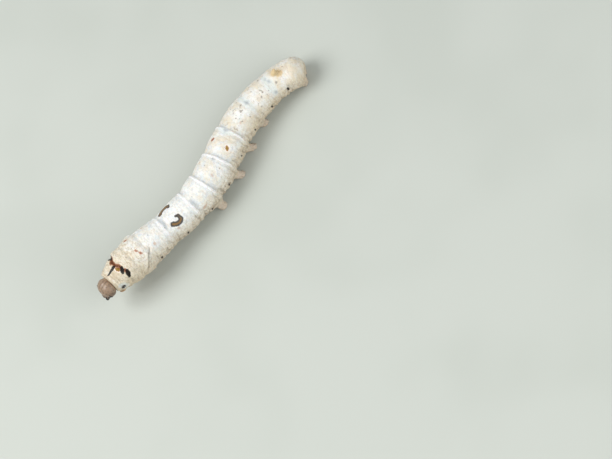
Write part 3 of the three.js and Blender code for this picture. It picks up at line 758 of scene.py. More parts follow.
@dataclass(frozen=True)
class LarvalSkin:
    """Living larval cuticle, thin and soft over pale blood and fat.

    To the eye it is a satin, faintly translucent cream white, bluer where the skin is stretched thin
    at the creases, wrinkled low on the sides, with fine dark flecks towards the tail. Light and shade
    are painted into it as well: a highlight on each crease's rim and a grey-blue shadow behind it, warm
    shade low on the sides and in the wrinkle grooves, and shade in the dips and along two thorax folds.
    """

    cream: str = "#ebe6d9"
    chalk: str = "#f5f5f1"
    # warm tone of the thorax and the tail, and painted warm shade low on the sides
    warm_and_shade: str = "#e2d3b6"
    peach: str = "#e8d6c4"
    # bluish mottle, and the painted shadow behind each crease
    blue_and_shadow: str = "#b7c0c6"
    veil: str = "#dfe4e6"
    # tan bands behind the head, and painted shade low on the sides and in the wrinkle grooves
    tan: str = "#c2b094"
    foot: str = "#d5c2b1"
    # painted shade in the dips of the skin
    crevice_shade: str = "#6f5c48"
    # painted highlight along the rim of each crease
    crease_highlight: str = "#ffffff"
    fleck: str = "#7b6958"
    plate: str = "#e2e8e4"
    grey: str = "#a7aeb2"
    faint: str = "#c39676"
    horn: str = "#dec391"
    # dark smudges, and painted shade along two folds of the thorax
    smudge: str = "#6b5a4a"
    halo: str = "#fff3e6"
    gold: str = "#98792b"
    rust: str = "#8f5234"
    rust_pale: str = "#bd7d5c"
    band_edge: str = "#96592c"
    band_core: str = "#5a2c12"
    black: str = "#070505"
    crescent_edge: str = "#291c11"
    crescent_core: str = "#8e6c3e"

    def material(self) -> bpy.types.Material:
        """Builds the skin's material, whose patterns lie on the straightened body."""
        paint = Paint("larval_cuticle_satin", self.cream, Roughness=0.46, IOR=1.42, Specular_IOR_Level=0.45,
                      Subsurface_Weight=0.16, Subsurface_Scale=0.0005)
        paint.shader.inputs["Subsurface Radius"].default_value = (1.0, 0.72, 0.5)
        paint.place = node(paint.tree, "ShaderNodeAttribute", attribute_name="straight").outputs["Vector"]
        along, low, flesh = paint.kept("along"), paint.kept("low"), paint.kept("flesh")
        blotch, patch = paint.noise(2.6, 3), paint.noise(1.3, 3)
        fine = paint.noise(0.4, 4, roughness=0.6)
        lines = self.line_pattern(paint, 0.8, (1.0, 0.5, 0.5))
        hatch = self.line_pattern(paint, 0.62, (0.6, 1.0, 1.0))
        paint.lay(self.chalk, paint.ramp(blotch, 0.36, 0.6), 0.85)
        self.lay_length_tints(paint, along, blotch)
        middle = paint.both(paint.ramp(along, 46, 40), paint.ramp(along, 7, 13))
        calm = paint.sum("MULTIPLY_ADD", middle, 0.7, 0.3)
        paint.lay(self.veil, paint.both(paint.ramp(patch, 0.5, 0.62), calm), 0.6)
        paint.lay(self.peach, paint.ramp(patch, 0.44, 0.3), 0.22)
        speckle = paint.noise(0.8, 3)
        paint.lay(self.blue_and_shadow, paint.both(paint.ramp(speckle, 0.52, 0.7), calm), 0.32)
        collar = paint.ramp(paint.noise(1.0, 1, (2.2, 0.4, 0.4)), 0.42, 0.58)
        paint.lay(self.tan, paint.both(collar, paint.ramp(along, 3.2, 1.6)), 0.6)
        self.lay_creases(paint, low, blotch)
        # painted warm shade low on the sides
        self.lay_sides(paint, low, fine, patch)
        # painted shade in the wrinkle grooves, strongest low on the sides and on the thorax
        wrinkled = paint.sum("MAXIMUM", paint.ramp(low, 0.24, 0.5), paint.ramp(along, 12, 8))
        paint.lay(self.tan, paint.both(lines, paint.sum("MULTIPLY_ADD", wrinkled, 0.5, 0.2)), 0.9)
        paint.lay(self.tan, paint.both(hatch, paint.sum("MULTIPLY_ADD", wrinkled, 0.35, 0.14)), 0.8)
        # painted shade in the dips of the relief: creases, folds and wrinkles
        paint.lay(self.crevice_shade, paint.ramp(paint.kept("dip"), 0.1, 0.4), 0.45)
        paint.lay(self.foot, paint.ramp(flesh, 0.15, 0.9), 0.5)
        self.lay_flecks(paint, along, low)
        self.lay_markings(paint, fine)
        paint.raise_by(paint.cells(0.16), 0.015)
        paint.raise_by(fine, 0.07)
        paint.raise_by(lines, -0.045)
        paint.raise_by(hatch, -0.03)
        paint.roughen(fine, 0.36, 0.58)
        return paint.finished(0.85)

    def line_pattern(self, paint: Paint, size: float, stretch: tuple[float, float, float]) -> Socket:
        """Thin branching lines, 1 along each, where noise crosses its middle value."""
        off = paint.sum("ABSOLUTE", paint.sum("SUBTRACT", paint.noise(size, 2, stretch), 0.5))
        return paint.ramp(off, 0.05, 0.0)

    def lay_length_tints(self, paint: Paint, along: Socket, blotch: Socket) -> None:
        """Warms the thorax and the tail, and leaves the front of the abdomen white."""
        paint.lay(self.warm_and_shade, paint.ramp(along, 13.0, 3.0), 0.72)
        paint.lay(self.chalk, paint.both(paint.ramp(along, 11, 17), paint.ramp(along, 30, 23)), 0.7)
        rear = paint.both(paint.ramp(along, 33, 44), paint.ramp(blotch, 0.7, 0.35))
        paint.lay(self.warm_and_shade, rear, 0.5)
        paint.lay(self.warm_and_shade, paint.ramp(along, 60.5, 66.5), 0.3)

    def lay_sides(self, paint: Paint, low: Socket, fine: Socket,
                  patch: Socket) -> None:
        """Paints warm shade low on the sides, below the breathing holes, in uneven warm and tan patches."""
        uneven = paint.sum("MULTIPLY_ADD", fine, 0.1, paint.both(patch, 0.2))
        side = paint.sum("ADD", low, paint.sum("SUBTRACT", uneven, 0.15))
        paint.lay(self.warm_and_shade, paint.ramp(side, 0.28, 0.5), 0.5)
        paint.lay(self.tan, paint.ramp(side, 0.42, 0.62), 0.5)

    def lay_creases(self, paint: Paint, low: Socket, blotch: Socket) -> None:
        """Paints a highlight on the rim of each crease and a grey-blue shadow behind it, both on the back."""
        crease, upper = paint.kept("crease"), paint.ramp(low, 0.52, 0.34)
        # painted shadow: grey-blue, tailward of each crease, on the back
        shadow = paint.both(paint.ramp(crease, 1.5, 0.25), paint.ramp(crease, 0.02, 0.2))
        shadow = paint.both(paint.both(shadow, upper), paint.ramp(blotch, 0.25, 0.6))
        share = paint.sum("MULTIPLY_ADD", paint.kept("bright"), 0.38, 0.14)
        paint.lay(self.blue_and_shadow, paint.both(shadow, share), 1.0)
        before = paint.both(paint.ramp(crease, -1.9, -0.5), paint.ramp(crease, 0.0, -0.2))
        paint.lay(self.veil, paint.both(before, upper), 0.4)
        # painted highlight: a white line along the rim of each crease, on the back
        line = paint.both(paint.ramp(crease, 0.1, 0.0), paint.ramp(crease, -0.6, -0.42))
        line = paint.both(line, paint.ramp(low, 0.46, 0.36))
        paint.lay(self.crease_highlight, paint.both(line, paint.kept("bright")), 0.97)

    def lay_flecks(self, paint: Paint, along: Socket, low: Socket) -> None:
        """Scatters fine dark flecks over the back, most of them towards the tail."""
        region = paint.both(paint.ramp(along, 42, 46), paint.ramp(low, 0.34, 0.2))
        region = paint.both(region, paint.ramp(along, 62, 60))
        region = paint.both(region, paint.ramp(paint.noise(2.4, 1), 0.42, 0.54))
        spots = paint.ramp(paint.noise(0.62, 1), 0.6, 0.7)
        paint.lay(self.fleck, paint.both(region, spots), 0.62)
        sparse = paint.both(paint.ramp(paint.cells(2.1), 0.11, 0.05), paint.ramp(low, 0.55, 0.35))
        paint.lay(self.fleck, sparse, 0.5)

    def lay_markings(self, paint: Paint, fine: Socket) -> None:
        """Lays the markings, whose edges the mesh keeps as distances, with ragged outlines."""
        ragged = paint.both(paint.sum("SUBTRACT", fine, 0.5), 0.45)

        def edge(tint: Tint, outer: float, inner: float) -> Socket:
            """The inside of a marking, from the outer distance to the inner one."""
            return paint.ramp(paint.sum("ADD", paint.kept(tint.value), ragged), outer, inner)

        for tint, colour, outer, inner, strength in MARK_COATS:
            paint.lay(getattr(self, colour), edge(tint, outer, inner), strength)


@dataclass(frozen=True)
class HeadShell:
    """Hard head capsule of tanned chitin: a semi-gloss mauve-brown shell, mottled and finely pebbled."""

    base: str = "#977f69"
    dark: str = "#5f4b3c"
    pale: str = "#b29a83"
    seam: str = "#3c2b22"
    grit: float = 0.09

    def material(self) -> bpy.types.Material:
        """Builds the shell's material."""
        paint = Paint("head_chitin_tanned", self.base, Roughness=0.36, IOR=1.55,
                      Subsurface_Weight=0.06, Subsurface_Scale=0.0003)
        mottle = paint.noise(0.55, 4)
        paint.lay(self.dark, paint.ramp(mottle, 0.5, 0.68), 0.6)
        paint.lay(self.pale, paint.ramp(mottle, 0.46, 0.3), 0.6)
        paint.lay(self.seam, paint.ramp(paint.kept("seam"), 0.02, 0.09), 0.4)
        paint.lay(self.dark, paint.ramp(paint.kept("cheek"), 0.35, 1.0), 0.6)
        paint.raise_by(paint.cells(self.grit), 0.012)
        paint.raise_by(mottle, 0.03)
        paint.roughen(mottle, 0.28, 0.48)
        return paint.finished(0.7)


@dataclass(frozen=True)
class Chitin:
    """Plain tanned chitin of a small part: glossy, with a darker tip or mottle."""

    name: str
    base: str
    dark: str
    roughness: float = 0.32
    size: float = 0.3

    def material(self) -> bpy.types.Material:
        """Builds the part's material."""
        paint = Paint(self.name, self.base, Roughness=self.roughness, IOR=1.55)
        mottle = paint.noise(self.size, 3)
        paint.lay(self.dark, paint.ramp(mottle, 0.42, 0.66), 0.8)
        paint.raise_by(mottle, 0.015)
        paint.roughen(mottle, self.roughness - 0.08, self.roughness + 0.1)
        return paint.finished(0.6)


LEG_CHITIN = Chitin("leg_chitin_amber", "#c79b6d", "#94653c", 0.34, 0.35)
CLAW_CHITIN = Chitin("claw_chitin_dark", "#4a2b18", "#1d110b", 0.25, 0.2)
HOOK_CHITIN = Chitin("hook_chitin_brown", "#6b4a30", "#3a2616", 0.35, 0.2)
JAW_CHITIN = Chitin("jaw_chitin_black", "#120c0a", "#070504", 0.3, 0.25)
PALP_CHITIN = Chitin("palp_chitin_pale", "#b99c7c", "#876848", 0.4, 0.25)
ANTENNA_CHITIN = Chitin("antenna_chitin_brown", "#8d7562", "#6b5646", 0.4, 0.25)
EYE_CHITIN = Chitin("eye_lens_black", "#15100e", "#2a1d16", 0.12, 0.1)
RIM_CHITIN = Chitin("spiracle_chitin_black", "#2b211b", "#120e0c", 0.38, 0.12)
SIEVE_CHITIN = Chitin("spiracle_sieve_brown", "#4d3a2d", "#241a14", 0.6, 0.1)
HAIR_CHITIN = Chitin("seta_chitin_pale", "#c9b99f", "#8e7a60", 0.45, 0.3)


# Sub-assemblies

def dress(piece: Piece, finish: object, replaces: Iterable[str] = ()) -> None:
    """Gives a piece its material, its place on the body and the nodes that it stands for."""
    piece.data.materials.clear()
    piece.data.materials.append(finish.material())
    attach(piece, "root")
    if replaces:
        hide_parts(*replaces)
    LOG.info("%s: %d faces, %s", piece.name, len(piece.data.polygons), piece.data.materials[0].name)


@dataclass(frozen=True)
class Wrinkles:
    """Loose wrinkles low on the sides and on the limbs, and finer ones elsewhere.

    Ranges are where an effect starts and is full: turns from the back in degrees, or places along the
    body. Sizes are those of the noise, in millimetres, and the seeds keep its layers apart.
    """

    loose: tuple[float, float] = (58, 96)
    belly: tuple[float, float] = (135, 165)
    belly_ease: float = 0.4
    thorax: tuple[float, float] = (9.5, 13)
    tail: tuple[float, float] = (58, 63)
    wander_size: float = 1.5
    across: tuple[float, float, float] = (0.8, 7.0, 0.25)
    lengthways: tuple[float, float, float] = (0.75, 41.0, 0.2)
    across_stretch: tuple[float, float, float] = (1, 0.5, 0.5)
    lengthways_stretch: tuple[float, float, float] = (0.45, 1, 1)
    lump_noise: tuple[float, float] = (1.0, 19.0)
    small_noise: tuple[float, float] = (0.45, 31.0)
    ground: float = 0.035
    slack: float = 0.14
    side_weight: float = 1.25
    thorax_weight: float = 0.3
    tail_weight: float = 0.05
    limb_weight: float = 0.06
    line_width: float = 0.2
    line_weights: tuple[float, float] = (3.0, 2.0)
    lump_weight: float = 0.35
    small_weights: tuple[float, float] = (0.014, 0.05)

    def relief(self, straight: Array, s: Array, angle: Array, body: Array) -> Array:
        """How far the wrinkles move the skin outwards.

        Args:
            straight: the skin's points on the straightened body.
            s: their places along the body.
            angle: their turns from the back.
            body: 1 on the body and 0 on a limb.

        Returns:
            The relief in millimetres.
        """
        turn = np.abs(np.degrees(angle))
        loose = smooth_between(*self.loose, turn) * (1 - self.belly_ease * smooth_between(*self.belly, turn))
        thorax = 1 - smooth_between(*self.thorax, s)
        tail = smooth_between(*self.tail, s)
        wander = grain(straight, self.wander_size)[:, None]
        across = self.lines(straight * self.across_stretch, wander, *self.across)
        lengthways = self.lines(straight * self.lengthways_stretch, wander, *self.lengthways)
        lumps, small = grain(straight, *self.lump_noise), grain(straight, *self.small_noise)
        amount = self.ground + self.slack * np.maximum(self.side_weight * loose, self.thorax_weight * thorax)
        amount = amount + self.tail_weight * tail + self.limb_weight * (1 - body)
        lines = across * self.line_weights[0] + lengthways * self.line_weights[1]
        fine = (self.small_weights[0] + self.small_weights[1] * amount) * small
        return -amount * lines + self.lump_weight * amount * lumps + fine

    def lines(self, points: Array, wander: Array, size: float, seed: float, share: float) -> Array:
        """Ridges where noise crosses zero, bent by this share of the wander."""
        off = np.abs(grain(points + wander * share, size, seed))
        return self.line_width - np.minimum(off, self.line_width)


@dataclass
class Skin:
    """The one skin of the body, with the prolegs, the claspers and the tail horn grown from it."""

    plan: BodyPlan
    voxel: float = 0.165
    smoothing: int = 5
    soles: tuple[tuple[int, float, float], ...] = (
        (3, 0.8, 3.6), (4, 1.02, 3.7), (5, 1.06, 3.2), (6, 0.95, 2.4),
    )
    limb_grid: tuple[int, int] = (40, 36)
    body_grid: tuple[int, int] = (320, 120)
    horn_grid: tuple[int, int] = (30, 24)
    proleg_share: float = 0.72
    proleg_width: float = 1.12
    knee_share: float = 0.6
    knee_out: float = 0.3
    proleg_root: float = math.radians(143)
    root_depth: float = 0.55
    proleg_size: Steps = ((0, 1.8), (0.25, 1.5), (0.5, 1.15), (0.7, 0.96), (0.86, 0.93),
                                                    (0.94, 1.02), (1, 0.92))
    clasper_share: float = 0.3
    clasper_width: float = 1.1
    heel_share: float = 0.5
    heel_back: float = 0.4
    clasper_root: float = math.radians(128)
    clasper_spread: float = 1.2
    clasper_back: float = 0.3
    clasper_size: Steps = ((0, 1.4), (0.25, 1.4), (0.5, 1.25), (0.8, 0.93), (0.9, 0.84),
                                                     (0.94, 0.94), (1, 0.88))
    horn_share: float = 0.55
    horn_sunk: float = 0.7
    horn_length: float = 1.7
    horn_lean: float = 0.95
    horn_bend_share: float = 0.55
    horn_bend_back: float = 0.2
    horn_size: Steps = ((0, 1.0), (0.25, 0.8), (0.5, 0.6), (0.75, 0.42), (0.92, 0.28), (1, 0.12))
    crease_numbers: tuple[int, ...] = (4, 5, 6, 7, 8, 9, 10)
    crease_depths: tuple[float, ...] = (0.12, 0.17, 0.2, 0.2, 0.18, 0.06, 0.04)
    # how strongly each crease's painted highlight and painted shadow show
    crease_brightness: tuple[float, ...] = (0.6, 0.95, 1.0, 1.0, 0.95, 0.15, 0.0)
    rim_lift: float = 0.65
    wrinkles: Wrinkles = Wrinkles()
    fold_seed: int = 5
    fold_scatter: tuple[float, float] = (0.02, 2.0)
    fold_range: tuple[float, float] = (0.6, 1.2)
    rim_ahead: float = 0.25
    rim_width: float = 0.32
    dip_ends: tuple[float, float] = (-0.1, 0.42)
    dip_start: float = 0.2
    dip_reach: float = 0.9
    annulet_width: float = 0.28
    annulets: Steps = ((0.24, 0.025), (0.55, 0.035), (0.72, 0.05), (0.86, 0.05))

    def build(self) -> Piece:
        """Lofts the body and its limbs, grows them together and works the skin's relief into them."""
        parts = [self.body(), self.horn()]
        for side in Side:
            parts += [self.proleg(row, side) for row in self.soles]
            parts.append(self.clasper(side))
        skin = join(parts, "skin")
        apply_modifier(skin, "REMESH", mode="VOXEL", voxel_size=self.voxel * MM)
        apply_modifier(skin, "SMOOTH", factor=0.5, iterations=self.smoothing)
        self.work(skin)
        return finish_shape(skin, "skin")

    def body(self) -> Piece:
        """The plain body from the neck to the tail."""
        def place(share: Array, turn: Array) -> Array:
            """A point of the skin."""
            return self.plan.skin(share * self.plan.length, turn)

        return rolled_sheet("body", *self.body_grid, place)

    def root_of(self, s: float, angle: float) -> Array:
        """A point inside the body, where a limb starts."""
        return self.plan.skin(np.array([s]), np.array([angle]), self.root_depth)[0]

    def proleg_sole(self, row: tuple[int, float, float], side: Side) -> tuple[float, Array]:
        """Where a proleg stands: its place along the body and the middle of its sole."""
        number, share, spread = row
        segment = self.plan.index(f"abdomen_{number}")
        s = self.plan.creases[segment] + share * self.plan.segments[segment].length
        point, _, left, _ = (part[0] for part in self.plan.axes(np.array([s])))
        return s, (point + left * side.value * spread) * np.array([1, 1, 0])

    def proleg(self, row: tuple[int, float, float], side: Side) -> Piece:
        """One of the fleshy legs in the middle of the body."""
        segment = self.plan.index(f"abdomen_{row[0]}")
        s = self.plan.creases[segment] + self.proleg_share * self.plan.segments[segment].length
        sole_s, sole = self.proleg_sole(row, side)
        left = self.plan.axes(np.array([sole_s]))[2][0]
        root = self.root_of(s, side.value * self.proleg_root)
        knee = root + (sole - root) * self.knee_share + left * side.value * self.knee_out
        return limb(f"proleg_{row[0]}_{side.word}", Bow(root, knee, sole), self.proleg_size, *self.limb_grid,
                    level=True, wide=self.proleg_width)

    def clasper_sole(self, side: Side) -> tuple[float, Array]:
        """Where a clasper stands: its place along the body and the middle of its sole."""
        row = self.plan.index("abdomen_10")
        s = self.plan.creases[row] + self.clasper_share * self.plan.segments[row].length
        point, tailward, left, _ = (part[0] for part in self.plan.axes(np.array([s])))
        sole = point + left * side.value * self.clasper_spread + tailward * self.clasper_back
        return s, sole * np.array([1, 1, 0])

    def clasper(self, side: Side) -> Piece:
        """One of the pair of legs under the tail."""
        s, sole = self.clasper_sole(side)
        tailward = self.plan.axes(np.array([s]))[1][0]
        root = self.root_of(s, side.value * self.clasper_root)
        heel = root + (sole - root) * self.heel_share + tailward * self.heel_back
        return limb(f"clasper_{side.word}", Bow(root, heel, sole), self.clasper_size, *self.limb_grid,
                    level=True, wide=self.clasper_width)

    def horn_station(self) -> float:
        """Where the horn stands along the body."""
        row = self.plan.index("abdomen_8")
        return self.plan.creases[row] + self.horn_share * self.plan.segments[row].length

    def horn(self) -> Piece:
        """The small horn on the back near the tail."""
        s = self.horn_station()
        _, tailward, _, back = (part[0] for part in self.plan.axes(np.array([s])))
        skin = self.plan.skin(np.array([s]), np.array([0.0]))[0]
        bend = skin + back * self.horn_bend_share * self.horn_length + tailward * self.horn_bend_back
        tip = skin + back * self.horn_length + tailward * self.horn_lean
        bow = Bow(skin - back * self.horn_sunk, bend, tip)
        return limb("tail_horn", bow, self.horn_size, *self.horn_grid)

    def work(self, skin: Piece) -> None:
        """Moves the skin in and out into folds and wrinkles, and keeps the numbers that its colours read."""
        points = positions(skin.data) / MM
        normals = positions(skin.data, "vector")
        s, angle, beyond = self.plan.locate(points)
        body = 1 - smooth_between(0.25, 0.9, beyond)
        folds = self.folds(s, angle)
        creases, nearest, bright = self.creases(s)
        relief = (folds + creases) * body
        straight = self.plan.straightened(points, s)
        relief += self.wrinkles.relief(straight, s, angle, body)
        points = points + normals * relief[:, None]
        points[:, 2] = np.maximum(points[:, 2], 0.0)
        move_vertices(skin, points)
        store(skin, "straight", straight * MM)
        store(skin, "along", s)
        store(skin, "low", np.abs(angle) / math.pi)
        store(skin, "flesh", np.clip(beyond, 0, 2))
        store(skin, "crease", nearest)
        store(skin, "bright", bright)
        # how deep the skin dips in, which its material darkens as painted shade
        store(skin, "dip", np.clip(-relief, 0, 1))
        near_horn = (np.abs(s - self.horn_station() - 0.4) < 2) & (np.abs(angle) < math.radians(50))
        for tint, marks in MARKINGS.items():
            edges = np.minimum.reduce([mark.edge(self.plan, s, angle) for mark in marks])
            if tint is Tint.HORN:
                edges = np.where(near_horn, np.minimum(edges, 0.3 - beyond), edges)
            else:
                edges = np.maximum(edges, beyond - 0.6)
            store(skin, tint.value, np.clip(edges, -2, 2))

    def folds(self, s: Array, angle: Array) -> Array:
        """The folds and ridges of the thorax, and the folds low on the sides of the abdomen."""
        relief = sum(fold.relief(self.plan, s, angle) for fold in THORAX_FOLDS)
        draw = np.random.default_rng(self.fold_seed)
        for front, segment in zip(self.plan.creases[3:11], self.plan.segments[3:11]):
            for places, depth, width in SIDE_FOLDS:
                for side in Side:
                    course = Course(tuple(
                        (front + (share + draw.normal(0, self.fold_scatter[0])) * segment.length,
                         side.value * (turn + draw.normal(0, self.fold_scatter[1])))
                        for share, turn in places), mirrored=False)
                    crease = Fold(course, depth * draw.uniform(*self.fold_range), width)
                    relief += crease.relief(self.plan, s, angle)
        return relief

    def creases(self, s: Array) -> tuple[Array, Array, Array]:
        """The creases between the abdominal segments, and the shallow rings of each segment.

        Args:
            s: places along the body.

        Returns:
            The relief, the distance tailwards from the nearest crease, and that crease's brightness.
        """
        relief, nearest, bright = np.zeros(len(s)), np.full(len(s), 9.0), np.zeros(len(s))
        for number, depth, shine in zip(self.crease_numbers, self.crease_depths, self.crease_brightness):
            gap = s - self.plan.creases[number]
            relief += self.rim_lift * depth * np.exp(-(((gap + self.rim_ahead) / self.rim_width) ** 2))
            fading = np.exp(-np.maximum(gap - self.dip_start, 0) / self.dip_reach)
            relief -= depth * smooth_between(*self.dip_ends, gap) * fading
            bright = np.where(np.abs(gap) < np.abs(nearest), shine, bright)
            nearest = np.where(np.abs(gap) < np.abs(nearest), gap, nearest)
        for front, rear in zip(self.plan.creases[3:-3], self.plan.creases[4:-2]):
            for share, depth in self.annulets:
                gap = s - front - share * (rear - front)
                relief -= depth * np.exp(-((gap / self.annulet_width) ** 2))
        return relief, nearest, bright

    def stands_for(self) -> list[str]:
        """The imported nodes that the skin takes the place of."""
        names = [row.name for row in self.plan.segments] + ["horn"]
        for side in Side:
            names += [f"proleg_{row[0]}_{side.word}" for row in self.soles]
            names.append(f"anal_proleg_{side.word}")
        return names

    def dress(self, skin: Piece) -> None:
        """Gives the skin its finish."""
        dress(skin, LarvalSkin(), self.stands_for())


@dataclass(frozen=True)
class Breath:
    """Where a breathing hole lies on its segment, and how large it is.

    share is the place along the segment, angle the turn from the back and slant the lean of the
    oval's upper end towards the tail, both in degrees.
    """

    segment: str
    share: float
    angle: float
    size: float = 0.84
    slant: float = 0.0


@dataclass
class Spiracles:
    """The breathing holes: a dark oval rim round a sunken brown sieve, on both sides of nine segments."""

    plan: BodyPlan
    places: tuple[Breath, ...] = (
        Breath("prothorax", 0.39, 92, 1.3, -75), Breath("abdomen_1", 0.27, 98),
        Breath("abdomen_2", 0.41, 101), Breath("abdomen_3", 0.42, 101, 0.66),
        Breath("abdomen_4", 0.44, 100, 0.66), Breath("abdomen_5", 0.47, 94, 0.66),
        Breath("abdomen_6", 0.5, 94, 0.66), Breath("abdomen_7", 0.57, 92.5),
        Breath("abdomen_8", 0.73, 80, 0.95),
    )
    half_height: float = 0.4
    rim: float = 0.1
    flatness: float = 0.6
    sieve_depth: float = 0.16

    def build(self) -> None:
        """Models one rim and one sieve, sets a copy of each at every place, and dresses them."""
        bpy.ops.object.select_all(action="DESELECT")
        bpy.ops.mesh.primitive_torus_add(major_segments=28, minor_segments=10, major_radius=self.half_height,
                                         minor_radius=self.rim)
        self.set_out(bpy.context.active_object, "spiracle_rims", RIM_CHITIN)
        bpy.ops.object.select_all(action="DESELECT")
        bpy.ops.mesh.primitive_uv_sphere_add(segments=20, ring_count=10, radius=self.half_height,
                                             scale=(1, 1, self.sieve_depth))
        self.set_out(bpy.context.active_object, "spiracle_sieves", SIEVE_CHITIN)

    def set_out(self, model: Piece, name: str, finish: Chitin) -> None:
        """Sets a copy of one model at every breathing hole, and joins and dresses the copies."""
        local = positions(model.data)
        made = []
        for breath in self.places:
            for side in Side:
                each = copied(model, f"{name}_{breath.segment}_{side.word}")
                move_vertices(each, self.seat(breath, side, local * breath.size))
                made.append(finish_shape(each, each.name))
        bpy.data.objects.remove(model)
        dress(join(made, name), finish)

    def seat(self, breath: Breath, side: Side, local: Array) -> Array:
        """Points of the row frame for points about a breathing hole: upright, across and outwards."""
        row = self.plan.index(breath.segment)
        s = np.array([self.plan.creases[row] + breath.share * self.plan.segments[row].length])
        angle = np.array([side.value * math.radians(breath.angle)])
        centre = self.plan.skin(s, angle)[0]
        outward = unit(self.plan.skin(s, angle, 1.1)[0] - centre)
        back = unit(np.cross(outward, self.plan.axes(s)[1][0])) * side.value
        headward = np.cross(outward, back) * side.value
        slant = math.radians(breath.slant)
        upright = back * math.cos(slant) - headward * math.sin(slant)
        across = np.cross(upright, outward)
        return (centre + outward * (local[:, 2:3] - 0.02) + upright * local[:, 0:1]
                + across * local[:, 1:2] * self.flatness)


@dataclass
class HeadPlace:
    """Where the head sits: its own axes are x to the mouth, y to the animal's left and z out of the face."""

    plan: BodyPlan
    ahead: float = 1.25
    drop: float = 0.35
    aside: float = 0.15
    nod: float = math.radians(55)

    def __post_init__(self) -> None:
        """Works out the head's origin and axes from the neck."""
        point, tailward, left, _ = (part[0] for part in self.plan.axes(np.array([0.0])))
        forward = unit(-tailward * np.array([1, 1, 0]))
        mouthward = forward * math.cos(self.nod) - UP * math.sin(self.nod)
        self.origin = point + forward * self.ahead - UP * self.drop + left * self.aside
        self.axes = np.stack([mouthward, left, np.cross(mouthward, left)])

    def world(self, local: Array) -> Array:
        """Points of the row frame for points in the head's own axes."""
        return self.origin + local @ self.axes

    def local(self, points: Array) -> Array:
        """Points in the head's own axes for points of the row frame."""
        return (points - self.origin) @ self.axes.T


@dataclass
class Head:
    """The hard capsule with its eyes and antennae."""

    place: HeadPlace
    half_width: float = 2.5
    up: float = 2.25
    down: float = 2.0
    front: float = 1.8
    rear: float = 1.65
    seam_depth: float = 0.09
    seam_width: float = 0.28
    narrowing: float = 0.3
    eye_radius: float = 0.17
    eye_places: Steps = ((58, 6), (68, 13), (72, 23), (67, 33), (56, 37), (84, 27))
    face_lines: tuple[Steps, ...] = (
        ((-2.1, 0), (0.15, 0)), ((0.15, 0), (0.9, 0.42), (1.42, 0.74)), ((1.42, 0), (1.42, 0.9)),
    )
    antenna_size: Steps = (
        (0, 0.28), (0.4, 0.27), (0.46, 0.19), (0.48, 0.21), (0.7, 0.2), (0.73, 0.13), (0.75, 0.14),
        (0.93, 0.12), (0.95, 0.07), (1, 0.03),
    )

    def capsule_point(self, direction: Array, proud: float = 0.0) -> Array:
        """Points of the capsule for directions from its centre, in the head's axes."""
        x, y, z = direction.T
        narrowing = 1 - self.narrowing * np.maximum(x, 0) ** 2
        length = np.where(x > 0, self.down, self.up)
        depth = np.where(z > 0, self.front, self.rear)
        crown = smooth_between(0, 0.8, 0.55 - x) * smooth_between(0, 0.8, z + 0.6)
        groove = self.seam_depth * crown * np.exp(-((y * self.half_width / self.seam_width) ** 2))
        point = np.stack([x * length, y * self.half_width * narrowing, z * depth * narrowing], -1)
        return point + unit(point) * (proud - groove)[:, None]

    def line_gap(self, point: Array) -> Array:
        """The distance from the sutures of the face, in millimetres."""
        flat = np.stack([point[:, 0], np.abs(point[:, 1])], -1)
        best = np.full(len(point), 9.0)
        for line in self.face_lines:
            for a, b in zip(line[:-1], line[1:]):
                a, b = np.array(a), np.array(b)
                along = np.clip(((flat - a) @ (b - a)) / ((b - a) @ (b - a)), 0, 1)
                best = np.minimum(best, np.linalg.norm(flat - a - along[:, None] * (b - a), axis=-1))
        return np.where(point[:, 2] > 0, best, 9.0)

    def facing(self, across: float, down: float) -> Array:
        """The direction that turns this many degrees from the face's middle, to the left and down."""
        a, d = math.radians(across), math.radians(down)
        return np.array([[math.sin(d), math.sin(a) * math.cos(d), math.cos(a) * math.cos(d)]])

    def capsule(self) -> Piece:
        """The capsule with its sutures."""
        def place(direction: Array) -> Array:
            """A point of the finished capsule."""
            point = self.capsule_point(direction)
            cut = 0.035 * np.exp(-((self.line_gap(point) / 0.09) ** 2))
            cut += 0.02 * grain(point, 0.6, 3.0)
            return self.place.world(point - unit(point) * cut[:, None])

        piece = shaped_ball("head_capsule_shell", 160, 110, place)
        local = self.place.local(positions(piece.data) / MM)
        store(piece, "seam", np.exp(-((self.line_gap(local) / 0.09) ** 2)) * 0.1)
        store(piece, "cheek", np.clip(np.abs(local[:, 1]) / self.half_width, 0, 1) * (local[:, 0] > -0.6))
        return piece

    def eyes(self) -> Piece:
        """The six simple eyes of each side, as small lenses on the capsule."""
        made = []
        for side in Side:
            for number, (across, down) in enumerate(self.eye_places):
                centre = self.capsule_point(self.facing(side.value * across, down), -0.02)

                def place(direction: Array, centre: Array = centre) -> Array:
                    """A point of a lens."""
                    return self.place.world(centre + direction * self.eye_radius)

                made.append(shaped_ball(f"eye_{side.word}_{number}", 18, 12, place))
        return join(made, "simple_eyes")

    def antenna(self, side: Side) -> Piece:
        """An antenna of three joints that fit into one another."""
        root = self.capsule_point(self.facing(side.value * 50, 46), -0.4)[0]
        tip = self.capsule_point(self.facing(side.value * 54, 52), 0.35)[0] + np.array([0.1, 0, 0])
        ends = self.place.world(np.stack([root, (root + tip) / 2, tip]))
        return limb(f"antenna_{side.word}_joints", Bow(*ends), self.antenna_size, 60, 20)

    def build(self) -> None:
        """Builds and dresses the capsule, the eyes and the antennae."""
        dress(self.capsule(), HeadShell(), ["head_capsule"])
        dress(self.eyes(), EYE_CHITIN)
        for side in Side:
            dress(self.antenna(side), ANTENNA_CHITIN, [f"antenna_{side.word}"])


